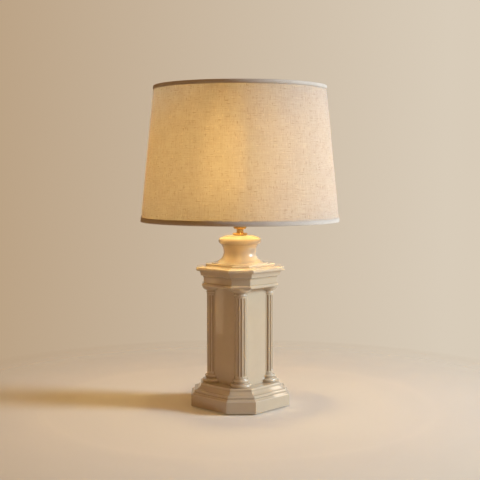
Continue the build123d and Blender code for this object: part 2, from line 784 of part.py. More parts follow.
def socket_core():
    """Moulded core that holds the switch, the contact and the terminals."""
    core = on_axis(screw_shell_outer, core_height, core_z)
    for side in (-1, 1):
        flat = Box(2 * screw_shell_outer, 2 * screw_shell_outer, core_height, align=standing)
        core -= Pos(side * (core_flat + screw_shell_outer), 0, core_z) * flat
        core -= terminal(side) * Cylinder(terminal_shank_radius + thread_clearance,
                                          2 * (terminal_shank_length + seat_gap))
    return core - switch_bore(shaft_rod_radius + shaft_running, shell_inner - shaft_depth, 2 * shell_radius)


def screw_shell():
    """Brass screw shell that the bulb goes into, standing on the core."""
    return tube(screw_shell_inner, screw_shell_outer, shell_height - core_height - 2 * nest_gap, core_top_z)


def centre_contact():
    """Springy brass tongue under the bulb's contact: riveted at one end and bent up over the centre."""
    reach = screw_shell_inner - nest_gap - socket_metal
    step = contact_rise - contact_thickness
    side = Polyline(
        (reach, 0), (reach, contact_thickness), (reach / 2, contact_thickness), (reach / 4, contact_rise),
        (-reach / 3, contact_rise), (-reach / 3, step), (reach / 6, step), (reach / 3, 0), close=True)
    return Pos(0, 0, core_top_z) * extrude(Plane.XZ * make_face(side), contact_width / 2, both=True)


def terminal_screws():
    """Two round-headed terminal screws, one on each flat of the core."""
    screws = []
    for side in (-1, 1):
        head = Cylinder(terminal_head_radius, terminal_head_height, align=standing)
        shank = Cylinder(terminal_shank_radius, terminal_shank_length, align=hanging)
        slot = Pos(0, 0, terminal_head_height) * Box(
            2 * terminal_head_radius, terminal_shank_radius / 2, terminal_head_height)
        screws.append(terminal(side) * (head + shank - slot))
    return Compound(children=screws)


def switch_shaft():
    """Steel shaft of the rotary switch."""
    return switch_bore(shaft_rod_radius, shell_inner - shaft_depth + seat_gap, knob_bore_end)


def switch_knob():
    """Turned knob with grooves round its grip, blind-bored for the shaft."""
    grip_z = knob_length - knob_grip_length
    end_x = knob_radius - knob_end_round
    quarter_sag = knob_end_round * (1 - math.sqrt(0.5))
    knob = turned([
        Line((0, 0), (knob_neck_radius, 0)),
        Line((knob_neck_radius, 0), (knob_radius, grip_z)),
        Line((knob_radius, grip_z), (knob_radius, knob_length - knob_end_round)),
        bowed((knob_radius, knob_length - knob_end_round), (end_x, knob_length), quarter_sag),
        Line((end_x, knob_length), (0, knob_length)),
        Line((0, knob_length), (0, 0)),
    ])
    groove = on_axis(knob_groove_radius, knob_grip_length, grip_z)
    knob -= [Rot(0, 0, 360 / knob_groove_count * step) * Pos(knob_radius, 0, 0) * groove
             for step in range(knob_groove_count)]
    knob = Pos(0, -knob_start, switch_z) * Rot(90, 0, 0) * knob
    return knob - switch_bore(shaft_rod_radius + knob_fit, knob_start, knob_bore_end)


# ---- Bulb ----
def globe(inset):
    """Pear-shaped outline of the glass, set in by inset: neck, swelling side and round top."""
    neck = (bulb_neck_radius - inset, can_z + base_height / 2)
    rim = (bulb_neck_radius - inset, can_top_z)
    equator = (bulb_radius - inset, globe_z)
    top = (0, globe_z + bulb_radius - inset)
    slant = (bulb_radius - inset) * math.sqrt(0.5)
    return turned([
        Line((0, neck[1]), neck),
        Line(neck, rim),
        Spline(rim, equator, tangents=[bulb_neck_heading, (0, 1)]),
        ThreePointArc(equator, (slant, globe_z + slant), top),
        Line(top, (0, neck[1])),
    ], large_turning_steps)


def bulb_base():
    """Thin metal can of the bulb's screw base."""
    can = tube(base_radius - base_metal, base_radius, base_height, can_z)
    return can + tube(insulator_foot_radius, base_radius, base_metal, can_z)


def bulb_insulator():
    """Dark glass cone between the can and the contact."""
    return turned_points([
        (0, insulator_z),
        (insulator_foot_radius, insulator_z),
        (base_radius - base_metal, can_z),
        (0, can_z),
    ])


def bulb_stem():
    """Glass mount inside the bulb: a flare sealed to the neck and a rod that carries the filament."""
    flare_z = can_z + base_height / 2
    outer = bulb_neck_radius - glass_thickness - seat_gap
    return turned_points([
        (0, can_z + base_metal),
        (flare_radius, can_z + base_metal),
        (outer, flare_z),
        (flare_radius, flare_z + flare_height),
        (mount_rod_radius, flare_z + 2 * flare_height),
        (mount_rod_radius, flare_z + mount_rod_height),
        (0, flare_z + mount_rod_height),
    ])


def bulb_filament():
    """Two leads out of the mount and the filament strung between them."""
    start_z = can_z + base_height / 2 + mount_rod_height - 2 * mount_rod_radius
    top_z = start_z + filament_rise
    lead_line = Polyline((mount_rod_radius + lead_radius, 0, start_z), (filament_half_width, 0, top_z))
    lead = sweep(Plane(origin=lead_line @ 0, z_dir=lead_line % 0) * Circle(lead_radius), path=lead_line)
    coil = Pos(0, 0, top_z) * Rot(0, 90, 0) * Cylinder(filament_radius, 2 * filament_half_width)
    return coil + lead + lead.mirror(Plane.YZ)


# ---- Shade ----
def shade_radius(height, inset):
    """Radius of the shade's slope at a height, for a skin that lies inset below the tape's face."""
    return shade_bottom_radius - (height - shade_bottom_z) * shade_taper - inset * taper_secant


def cone_skin(inset, thickness, low_z, high_z):
    """Thin conical skin that follows the shade's slope."""
    return turned_points([
        (shade_radius(low_z, inset + thickness), low_z),
        (shade_radius(low_z, inset), low_z),
        (shade_radius(high_z, inset), high_z),
        (shade_radius(high_z, inset + thickness), high_z),
    ])


def shade_skin(inset, thickness):
    """A skin of the shade, from tape fold to tape fold."""
    fold = trim_thickness + edge_gap
    return cone_skin(inset, thickness, shade_bottom_z + fold, shade_top_z - fold)


def trim(edge_z, inward, outside_height):
    """Tape folded over an edge of the shade: outside leg, fold and inside leg; inward is 1 or -1."""
    low, high = sorted((edge_z, edge_z + inward * outside_height))
    inside_low, inside_high = sorted((edge_z, edge_z + inward * trim_turn_in))
    fold_low, fold_high = sorted((edge_z, edge_z + inward * trim_thickness))
    tape = cone_skin(0, trim_thickness, low, high)
    tape += cone_skin(0, turn_in_inset + trim_thickness, fold_low, fold_high)
    return tape + cone_skin(turn_in_inset, trim_thickness, inside_low, inside_high)


def shade_ring(edge_z, inward):
    """Ring of wire inside the fold of the tape."""
    ring_z = edge_z + inward * (trim_thickness + edge_gap + ring_gap + ring_wire)
    ring_radius = shade_radius(ring_z, ring_inset) - ring_wire * taper_secant
    section = Plane.XZ * Pos(ring_radius, ring_z) * RegularPolygon(ring_wire, ring_sides)
    return revolve(section, Axis.Z), ring_radius, ring_z


def arm_turns():
    """Angles of the spider's arms, the first of them across the harp."""
    return [90 + 360 / arm_count * step for step in range(arm_count)]


def spider_fitter():
    """Top ring, and straight arms that slope down from it to the hub that drops over the stud."""
    ring, ring_radius, ring_z = shade_ring(shade_top_z, -1)
    line = Line((hub_reach, 0, hub_z + hub_thickness / 2), (ring_radius, 0, ring_z))
    arm = sweep(Plane(origin=line @ 0, z_dir=line % 0) * Circle(arm_wire), path=line)
    fitter = ring + tube(stud_radius + stud_clearance, hub_radius, hub_thickness, hub_z)
    fitter += [Rot(0, 0, turn) * arm for turn in arm_turns()]
    return fitter - on_axis(stud_radius + stud_clearance, hub_thickness + 2 * arm_wire, hub_z - arm_wire)


def top_trim():
    """Top tape, slit on the inside where the spider's arms reach the ring."""
    tape = trim(shade_top_z, -1, top_trim_height)
    ring_z = shade_ring(shade_top_z, -1)[2]
    slit_top = ring_z + arm_wire + ring_gap
    slit_bottom = shade_top_z - trim_turn_in
    slit_start = shade_radius(slit_top, turn_in_inset + 2 * trim_thickness)
    slit_end = shade_radius(slit_bottom, ring_inset)
    slit = Pos(slit_start, 0, slit_bottom) * Box(
        slit_end - slit_start, 2 * (arm_wire + ring_gap), slit_top - slit_bottom,
        align=(Align.MIN, Align.CENTER, Align.MIN))
    return tape - [Rot(0, 0, turn) * slit for turn in arm_turns()]


# ---- Finial ----
def finial():
    """Turned brass finial: foot, neck and ball, tapped for the stud."""
    edge_z = finial_z + finial_edge
    foot_z_top = finial_z + finial_foot_height
    ball_z = foot_z_top + finial_neck_height
    tip_z = ball_z + finial_ball_height
    top_z = tip_z + finial_tip_height
    outline = [
        Line((0, finial_z), (finial_foot_radius, finial_z)),
        Line((finial_foot_radius, finial_z), (finial_foot_radius, edge_z)),
        bowed((finial_foot_radius, edge_z), (finial_neck_radius, foot_z_top), finial_foot_sag),
        Line((finial_neck_radius, foot_z_top), (finial_neck_radius, ball_z)),
        bowed((finial_neck_radius, ball_z), (finial_tip_radius, tip_z), finial_ball_sag),
        bowed((finial_tip_radius, tip_z), (finial_tip_radius / 2, top_z), finial_tip_radius / 4),
        Line((finial_tip_radius / 2, top_z), (0, top_z)),
        Line((0, top_z), (0, finial_z)),
    ]
    bore_top = shoulder_z + stud_length + stud_end_gap
    return turned(outline) - on_axis(stud_radius + stud_clearance, bore_top - finial_z, finial_z)


# ---- All pieces, by name ----
pieces = {
    "ceramic_body": ceramic_body(),
    "felt_pad": felt_pad(),
    "bottom_plate": bottom_plate(),
    "bottom_washer": tube(bore_radius, bottom_washer_radius, washer_thickness,
                          shelf_z - plate_thickness - washer_thickness),
    "bottom_nut": hexagon_nut(nut_z, nut_height),
    "threaded_rod": tube(rod_bore, rod_radius, rod_top_z - rod_bottom_z, rod_bottom_z),
    "cord_bushing": cord_bushing(),
    "neck_gasket": tube(bore_radius, gasket_radius, gasket_thickness, crown_z),
    "check_ring": check_ring(),
    "neck_stem": tube(bore_radius, stem_radius, stem_height, stem_z),
    "neck_cup": neck_cup(),
    "harp_saddle": harp_saddle(),
    "saddle_locknut": hexagon_nut(locknut_z, locknut_height),
    "socket_cap": socket_cap(),
    "socket_set_screw": socket_set_screw(),
    "socket_shell": socket_shell(),
    "socket_liner": socket_liner(),
    "socket_core": socket_core(),
    "screw_shell": screw_shell(),
    "centre_contact": centre_contact(),
    "terminal_screws": terminal_screws(),
    "switch_shaft": switch_shaft(),
    "switch_knob": switch_knob(),
    "bulb_glass": globe(0) - globe(glass_thickness),
    "bulb_base": bulb_base(),
    "bulb_insulator": bulb_insulator(),
    "bulb_contact": on_axis(bulb_contact_radius, bulb_contact_height, bulb_z),
    "bulb_stem": bulb_stem(),
    "bulb_filament": bulb_filament(),
    "harp_wire": harp_wire(),
    "harp_stud": harp_stud(),
    "sleeve_left": sleeve(-1),
    "sleeve_right": sleeve(1),
    "spider_fitter": spider_fitter(),
    "bottom_ring": shade_ring(shade_bottom_z, 1)[0],
    "shade_liner": shade_skin(backing_inset, backing_thickness),
    "shade_fabric": shade_skin(fabric_inset, fabric_thickness),
    "top_trim": top_trim(),
    "bottom_trim": trim(shade_bottom_z, 1, bottom_trim_height),
    "finial": finial(),
}

os.makedirs("parts", exist_ok=True)
for node, shape in pieces.items():
    export_step(shape, f"parts/{node}.step")
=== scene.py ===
import math

import bmesh
import bpy
import numpy as np
from bpy.props import FloatProperty, FloatVectorProperty, IntProperty, PointerProperty
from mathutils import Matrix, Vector


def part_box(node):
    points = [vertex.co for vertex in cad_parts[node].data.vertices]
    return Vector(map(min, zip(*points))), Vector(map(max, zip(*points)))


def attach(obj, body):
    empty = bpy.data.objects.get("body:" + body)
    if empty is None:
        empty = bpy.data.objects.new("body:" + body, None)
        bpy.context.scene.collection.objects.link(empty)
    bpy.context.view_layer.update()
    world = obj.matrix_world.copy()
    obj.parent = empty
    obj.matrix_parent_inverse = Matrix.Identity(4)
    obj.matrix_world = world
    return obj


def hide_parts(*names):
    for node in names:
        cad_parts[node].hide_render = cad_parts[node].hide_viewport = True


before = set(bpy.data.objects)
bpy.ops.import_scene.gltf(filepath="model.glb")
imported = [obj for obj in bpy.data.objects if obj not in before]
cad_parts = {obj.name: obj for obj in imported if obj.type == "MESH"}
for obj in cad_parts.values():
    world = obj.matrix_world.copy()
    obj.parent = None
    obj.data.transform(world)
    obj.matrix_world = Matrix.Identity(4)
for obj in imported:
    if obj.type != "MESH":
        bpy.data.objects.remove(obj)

bl_info = {
    "name": "Column Table Lamp",
    "version": (1, 0, 0),
    "blender": (4, 5, 0),
    "location": "3D View > Sidebar > Lamp",
    "description": "Dresses the column table lamp: glazed body, brass neck and harp, bulb and slub linen shade",
    "category": "Add Mesh",
}

MM = 0.001
FOOT_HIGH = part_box("ceramic_body")[1]
SHADE_LOW, SHADE_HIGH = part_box("bottom_trim")[0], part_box("top_trim")[1]


# ---- Colour ----
def linear(colour):
    """An sRGB hex colour as linear values: c / 12.92 below 0.04045, and ((c + 0.055) / 1.055) to the 2.4
    above."""
    channels = np.array([int(colour[i:i + 2], 16) for i in (1, 3, 5)]) / 255
    bright = ((channels + 0.055) / 1.055) ** 2.4
    return tuple(float(c) for c in np.where(channels <= 0.04045, channels / 12.92, bright))


def colour_property(name, description, colour):
    """A colour that the user can change, given by its sRGB hex value."""
    return FloatVectorProperty(name=name, description=description, subtype="COLOR", size=3,
                               min=0, max=1, default=linear(colour))


# ---- Settings ----
def length_property(name, description, metres):
    """A length that the user can change."""
    return FloatProperty(name=name, description=description, default=metres, unit="LENGTH")


def angle_property(name, description, degrees):
    """An angle that the user can change."""
    return FloatProperty(name=name, description=description, default=math.radians(degrees), unit="ROTATION")


def number_property(name, description, value, **limits):
    """A plain number that the user can change."""
    return FloatProperty(name=name, description=description, default=value, **limits)


class LampBodySettings(bpy.types.PropertyGroup):
    """Sizes and colours of the glazed body."""

    corner_cut: length_property(
        "Corner cut", "How much further out the corner faces stand than the long faces", 8.6 * MM)
    arris: length_property("Arris", "Radius that the glaze leaves on the mitred corners", 1.7 * MM)
    pillar_half: length_property("Pillar half width", "Wall of the square pillar to the axis", 46.0 * MM)
    column_place: length_property(
        "Column place", "Column's axis to the lamp's axis, along X and along Y", 39.601 * MM)
    flutes: IntProperty(name="Flutes", description="Flutes round a whole shaft", default=12, min=4, max=24)
    flute_radius: length_property("Flute radius", "Radius of a flute's round bottom", 2.45 * MM)
    flute_depth: length_property("Flute depth", "Depth of a flute", 1.5 * MM)
    glaze: colour_property("Glaze", "Cream glaze where it lies evenly", "#cdbb9e")
    glaze_deep: colour_property("Pooled glaze", "Glaze where it pools in hollows", "#a08560")
    glaze_thin: colour_property("Thin glaze", "Glaze drawn thin over an arris", "#e8dcc6")
    felt: colour_property("Felt", "Wool felt under the foot", "#2c231b")


class LampMetalSettings(bpy.types.PropertyGroup):
    """Colours and finish of the metal pieces."""

    brass: colour_property("Brass", "Lacquered brass", "#dcb268")
    brass_dark: colour_property("Toned brass", "Brass where handling has toned it", "#b3833f")
    steel: colour_property("Zinc plate", "Zinc-plated steel", "#a9a9a6")
    aluminium: colour_property("Aluminium", "Rolled aluminium of the bulb's base", "#c4c2bc")
    brass_roughness: number_property("Brass roughness", "Roughness of the brass's polish", 0.2, min=0, max=1)


class LampShadeSettings(bpy.types.PropertyGroup):
    """Sizes and colours of the shade."""

    low_radius: length_property("Lower radius", "Tape's face at the lower edge", 203.2 * MM)
    high_radius: length_property("Upper radius", "Tape's face at the upper edge", 175.8 * MM)
    thread: length_property("Thread pitch", "Distance between threads of the linen", 1.0 * MM)
    linen: colour_property("Linen", "Oatmeal linen", "#cdcfce")
    slub_dark: colour_property("Dark slub", "Thick flax slubs", "#9c8260")
    slub_light: colour_property("Light slub", "Loose pale fibres", "#f7ecda")
    glow: colour_property("Linen against light", "Linen as the light inside shows through it", "#f3efec")
    glow_dark: colour_property("Slub against light", "Thick thread against the light inside", "#96683a")
    glow_light: colour_property("Thin place against light", "Thin place against the light inside", "#fffaee")
    backing: colour_property("Backing", "White styrene behind the linen", "#fdf1da")
    tape: colour_property("Tape", "Woven trim tape", "#e4d8c8")
    # Painted shade between the tape's ribs, and also the tone of random fibres.
    tape_rib_shade_and_fibre: colour_property("Tape shadow", "Between the ribs of the tape", "#b3a28b")


class LampBulbSettings(bpy.types.PropertyGroup):
    """The bulb's light."""

    glow: colour_property("Glow", "Warm white of the lit bulb", "#ffe09c")
    strength: number_property("Strength", "Brightness of the lit glass", 122.0, min=0, max=500)


class LampStageSettings(bpy.types.PropertyGroup):
    """Camera, floor, background and lights."""

    lens: number_property("Lens", "Focal length on a 36 mm sensor, in mm", 75.2)
    distance: length_property("Distance", "Camera to the lamp's axis, along the floor", 2.0528)
    height: length_property("Height", "Camera above the floor", 0.4847)
    azimuth: angle_property("Azimuth", "Camera's turn round the lamp", 43.4)
    pitch: angle_property("Pitch", "Camera's tilt down", 4.0)
    floor: colour_property("Floor", "Pale table top", "#e6dfd5")
    wall: colour_property("Wall", "Plain background on the lit side", "#d9ccb9")
    wall_shade: colour_property("Shaded wall", "Plain background away from the light", "#b99f80")
    key: number_property("Key light", "Power of the soft light on the right, in watts", 105.0)
    key_turn: angle_property("Key turn", "Key light's turn from the X axis", 35)
    key_rise: angle_property("Key rise", "Key light's height as an angle", 18)
    key_colour: colour_property("Key colour", "Cool light of the key", "#d6ebff")
    fill: number_property("Fill light", "Strength of the even light all round", 0.26)
    fill_colour: colour_property("Fill colour", "Warm light all round", "#f4b266")
    lift: number_property("Floor lift", "How much paler the camera sees the floor", 0.11)


SETTINGS = {
    "lamp_body": LampBodySettings,
    "lamp_metal": LampMetalSettings,
    "lamp_shade": LampShadeSettings,
    "lamp_bulb": LampBulbSettings,
    "lamp_stage": LampStageSettings,
}


# ---- Profiles ----
def bow(start, end, sag, steps):
    """Arc that leaves its chord by sag, to the right of its run.

    Along the chord a point is at half a chord times sin a / sin b, and off it half a chord times
    (cos a - cos b) / sin b, for a from -b to b, where tan(b / 2) is twice the sag over the chord.
    """
    start, end = np.array(start), np.array(end)
    chord = np.linalg.norm(end - start)
    along = (end - start) / chord
    b = 2 * math.atan2(2 * sag, chord) or 1e-6
    a = b * np.linspace(-1, 1, steps + 1)[:, None]
    off = np.array([along[1], -along[0]]) * (np.cos(a) - math.cos(b)) / math.sin(b)
    return (start + end) / 2 + chord / 2 * (along * np.sin(a) / math.sin(b) + off)


def outline(rows, steps=12):
    """Profile in metres from rows of (radius, height, sag) in mm; the run to a row bows by that row's sag."""
    rows = np.array(rows, float) * MM
    runs = [bow(a[:2], b[:2], b[2], steps if b[2] else 1) for a, b in zip(rows, rows[1:])]
    return np.concatenate([run[:-1] for run in runs] + [rows[-1:, :2]])


def through(knots, steps):
    """Smooth curve through knots in mm, as Catmull and Rom's cubic of each four knots in turn."""
    knots = np.array(knots, float) * MM
    ends = 2 * knots[:1] - knots[1:2], 2 * knots[-1:] - knots[-2:-1]
    k = np.concatenate([ends[0], knots, ends[1]])[:, None]
    t = np.arange(steps)[None, :, None] / steps
    a, b, c, d = k[:-3], k[1:-2], k[2:-1], k[3:]
    curve = (2 * b + (c - a) * t + (2 * a - 5 * b + 4 * c - d) * t ** 2 + (3 * b - a - 3 * c + d) * t ** 3) / 2
    return np.concatenate([curve.reshape(-1, 2), knots[-1:]])


def softened(profile, radius, closed=False):
    """Rounds the corners of a profile by radius, as a fired glaze or a polished edge does.

    A corner c sharper than 12 degrees becomes the parabola (1 - t)^2 a + 2 t (1 - t) c + t^2 b between points
    a and b on its two runs, each at the radius from c but no further than 0.34 of its run, with a point more
    on each run so that the flats beside it stay flat.
    """
    ring = np.concatenate([profile[-1:], profile, profile[:1]])
    back, ahead = ring[:-2] - profile, ring[2:] - profile
    long_back = np.linalg.norm(back, axis=1, keepdims=True) + 1e-12
    long_ahead = np.linalg.norm(ahead, axis=1, keepdims=True) + 1e-12
    most = 0.34
    a = profile + back / long_back * np.minimum(radius, most * long_back)
    b = profile + ahead / long_ahead * np.minimum(radius, most * long_ahead)
    sharp = (back / long_back * ahead / long_ahead).sum(axis=1) > -math.cos(math.radians(12))
    if not closed:
        sharp[[0, -1]] = False
    t = np.array([0, 0, 0.25, 0.5, 0.75, 1, 1])[:, None, None]
    extra = np.array([-0.3, 0, 0, 0, 0, 0, 0.3])[:, None, None]
    curve = (1 - t) ** 2 * a + 2 * t * (1 - t) * profile + t ** 2 * b
    curve = curve + np.minimum(extra, 0) * (profile - a) + np.maximum(extra, 0) * (b - profile)
    curve = np.where(sharp[:, None], curve, profile).swapaxes(0, 1)
    keep = sharp[:, None] | (np.arange(7) == 3)
    return curve[keep]


def bend_of(profile, closed=False, reach=1.2 * MM):
    """How an outline turns at each point, from -1 in a hollow to 1 on an arris, over about reach metres."""
    ring = np.concatenate([profile[-1:], profile, profile[:1]])
    back, ahead = profile - ring[:-2], ring[2:] - profile
    turn = np.arctan2(back[:, 0] * ahead[:, 1] - back[:, 1] * ahead[:, 0], (back * ahead).sum(axis=1))
    length = (np.linalg.norm(back, axis=1) + np.linalg.norm(ahead, axis=1)) / 2 + 1e-9
    value = np.tanh(turn / length * reach)
    if not closed:
        value[[0, -1]] = 0
    return value


# ---- Surfaces ----
def full_turn(count):
    """Even angles round a full turn."""
    return np.arange(count) * 2 * math.pi / count


def rings(radius, height, angle):
    """Grid of points on rings round the Z axis, one ring a row: radius cos a, radius sin a and the height."""
    return np.stack([radius * np.cos(angle), radius * np.sin(angle), height + 0 * angle], axis=-1)


def quad_corners(grid):
    """The values of a grid at the four corners of each of its cells, in order round the cell."""
    return np.stack([grid[:-1, :-1], grid[:-1, 1:], grid[1:, 1:], grid[1:, :-1]], axis=2)


def surface(name, points, along=False, caps=False, uv=None, edge=None, around=True):
    """Mesh of quads on a grid of points: rows follow the profile, and columns run round the piece.

    Each quad joins a point to its neighbours in the next row and column. Round the piece where around is
    true, and along it where along is true, the last joins the first. Caps closes the first and last rows
    with one face each. A UV map has a column more than the points, and edge is each point's bend, from -1
    in a hollow to 1 on an arris.
    """
    rows, columns = points.shape[:2]
    index = np.arange(rows * columns).reshape(rows, columns)
    if around:
        index = np.hstack([index, index[:, :1]])
    if along:
        index = np.vstack([index, index[:1]])
    quads = quad_corners(index).ravel()
    mesh = bpy.data.meshes.new(name)
    mesh.vertices.add(rows * columns)
    mesh.vertices.foreach_set("co", points.astype(np.float32).ravel())
    mesh.loops.add(len(quads))
    mesh.loops.foreach_set("vertex_index", quads.astype(np.int32))
    mesh.polygons.add(len(quads) // 4)
    mesh.polygons.foreach_set("loop_start", np.arange(0, len(quads), 4, dtype=np.int32))
    mesh.update(calc_edges=True)
    if uv is not None:
        mesh.uv_layers.new(name="metres").data.foreach_set("uv", quad_corners(uv).astype(np.float32).ravel())
    if edge is not None:
        mesh.attributes.new("edge", "FLOAT", "POINT").data.foreach_set("value", edge.astype(np.float32).ravel())
    work = bmesh.new()
    work.from_mesh(mesh)
    if caps:
        work.verts.ensure_lookup_table()
        for row in (index[0, :columns][::-1], index[-1, :columns]):
            if np.ptp(points.reshape(-1, 3)[row], axis=0).max() > 1e-6:
                work.faces.new([work.verts[i] for i in row])
    bmesh.ops.remove_doubles(work, verts=work.verts, dist=1e-7)
    if along or caps:
        bmesh.ops.recalc_face_normals(work, faces=work.faces)
    for face in work.faces:
        face.smooth = True
    work.to_mesh(mesh)
    work.free()
    return mesh


def turned(name, profile, segments=96, along=False, caps=True):
    """Turned piece: each point of the profile carried round the Z axis on a circle of its radius."""
    points = rings(profile[:, :1], profile[:, 1:], full_turn(segments))
    edge = np.repeat(bend_of(profile, along)[:, None], segments, axis=1)
    return surface(name, points, along=along, caps=caps and not along, edge=edge)


def turned_ring(name, rows, steps=8, arris=0.25 * MM, segments=96):
    """Turned piece with a hole through it: rows of its closed section, with the corners softened by arris."""
    return turned(name, softened(outline(rows, steps), arris, True), segments, along=True)


def moulded(name, profile, settings, along=True, caps=False):
    """Moulding carried round the body's plan, a square with its corners cut off.

    A point of the profile gives the distance of the long faces; the corner faces stand corner_cut further
    out. Two neighbouring faces at distances p and q meet at p n + (q root 2 - p) t, where n is the first
    one's normal and t the way along it. That corner is taken for distances less the arris, and the arris
    is added again as an arc that turns from one normal to the next.
    """
    soft = settings.arris
    turn = np.array([0, 0, 0.25, 0.5, 0.75, 1, 1])
    slide = np.array([-1, 0, 0, 0, 0, 0, 1]) * soft
    face = np.arange(8)
    own = profile[:, :1] + settings.corner_cut * (face % 2) - soft
    following = profile[:, :1] + settings.corner_cut * ((face + 1) % 2) - soft
    normal = np.stack([np.cos(face * math.pi / 4), np.sin(face * math.pi / 4)], axis=-1)
    tangent = normal[:, ::-1] * (-1, 1)
    corner = own[..., None] * normal + (following * math.sqrt(2) - own)[..., None] * tangent
    angle = (face[:, None] + turn) * math.pi / 4
    arc = soft * np.stack([np.cos(angle), np.sin(angle)], axis=-1)
    arc = arc + slide[:, None] * np.stack([-np.sin(angle), np.cos(angle)], axis=-1)
    plan = (corner[:, :, None] + arc).reshape(len(profile), -1, 2)
    height = np.broadcast_to(profile[:, 1:, None], plan.shape[:2] + (1,))
    across = np.tile((turn > 0) & (turn < 1), 8) * 0.8
    edge = np.clip(bend_of(profile, along)[:, None] + across, -1, 1)
    return surface(name, np.concatenate([plan, height], axis=-1), along=along, caps=caps, edge=edge)


def swept(name, path, half_width, half_height, segments=24):
    """Wire bent in the XZ plane: an ellipse of half_width across Y and half_height across the wire,
    carried along the path square to it."""
    along = np.gradient(path, axis=0)
    along /= np.linalg.norm(along, axis=1, keepdims=True)
    angle = full_turn(segments)
    out = np.broadcast_to(half_height, len(path))[:, None] * np.cos(angle)
    side = np.broadcast_to(half_width, len(path))[:, None] * np.sin(angle)
    x = path[:, :1] + along[:, 1:] * out
    z = path[:, 1:] - along[:, :1] * out
    return surface(name, np.stack([x, side, z], axis=-1), caps=True)


def heading_path(start, heading, runs, step=0.0005):
    """Bent line that starts at a point with a heading from the vertical, for runs of (length, turn).

    The heading grows evenly along each run, and the place is the running sum of its sine and cosine.
    """
    counts = [max(2, int(length / step)) for length, _ in runs]
    lengths = np.concatenate([np.full(n, length / n) for n, (length, _) in zip(counts, runs)])
    turns = np.concatenate([np.full(n, turn / n) for n, (_, turn) in zip(counts, runs)])
    middle = heading + np.cumsum(turns) - turns / 2
    steps = lengths[:, None] * np.stack([np.sin(middle), np.cos(middle)], axis=-1)
    return np.concatenate([[start], start + np.cumsum(steps, axis=0)])


TO_FRONT = ((1, 0, 0), (0, 0, -1), (0, 1, 0))


def placed(mesh, turn, move):
    """The mesh turned by a matrix and moved to where it belongs, inside its own points."""
    co = np.empty(len(mesh.vertices) * 3, np.float32)
    mesh.vertices.foreach_get("co", co)
    co = co.reshape(-1, 3) @ np.array(turn).T + np.array(move)
    mesh.vertices.foreach_set("co", co.astype(np.float32).ravel())
    mesh.update()
    return mesh


def put_in_scene(name, data):
    """A new object of the scene."""
    made = bpy.data.objects.new(name, data)
    bpy.context.scene.collection.objects.link(made)
    return made


def add_piece(mesh, body, material, node):
    """Puts a finished mesh in the scene as a piece that rides on a body and stands for a CAD node."""
    piece = put_in_scene(mesh.name, mesh)
    mesh.materials.append(material)
    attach(piece, body)
    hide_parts(node)
    return piece


def dress(material, *nodes):
    """Gives CAD nodes that stay as they are their material."""
    for name in nodes:
        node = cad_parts[name]
        node.data.materials.clear()
        node.data.materials.append(material)


# ---- Materials ----
def add(tree, kind, inputs=(), out=0, **settings):
    """Adds a node and gives back its output. Settings are its properties; inputs, in the order of its
    sockets or under their names, are each a link from another node's output or a constant."""
    node = tree.nodes.new("ShaderNode" + kind)
    for key, value in settings.items():
        setattr(node, key, value)
    for key, value in inputs.items() if isinstance(inputs, dict) else enumerate(inputs):
        if isinstance(value, bpy.types.NodeSocket):
            tree.links.new(value, node.inputs[key])
        else:
            node.inputs[key].default_value = value
    return node.outputs[out] if node.outputs else None


def new_material(name):
    """An empty node material and its tree."""
    material = bpy.data.materials.new(name)
    material.use_nodes = True
    material.node_tree.nodes.clear()
    return material, material.node_tree


def rgb(colour, share=1.0):
    """A colour times a share, with full alpha."""
    return (*(min(1.0, c * share) for c in colour), 1.0)


def layered(tree, base, *layers):
    """Lays colours over a base, one after another. A layer is the source of its mask, the source's values
    where it starts to show and where it shows most, how much of it shows there, and its colour."""
    for source, start, end, most, colour in layers:
        share = add(tree, "MapRange", (source, start, end, 0.0, most))
        base = add(tree, "Mix", {0: share, 6: base, 7: colour}, 2, data_type="RGBA")
    return base


def dimmed(colour, share):
    """A share of a colour."""
    return tuple(share * c for c in colour)


def seen_plainly(tree):
    """1 where the camera looks, directly, in gloss or through glass, and 0 for light on its way to things."""
    seen = add(tree, "Math", (add(tree, "LightPath", out="Is Camera Ray"),
                              add(tree, "LightPath", out="Is Glossy Ray")), operation="MAXIMUM")
    return add(tree, "Math", (seen, add(tree, "LightPath", out="Is Transmission Ray")), operation="MAXIMUM")


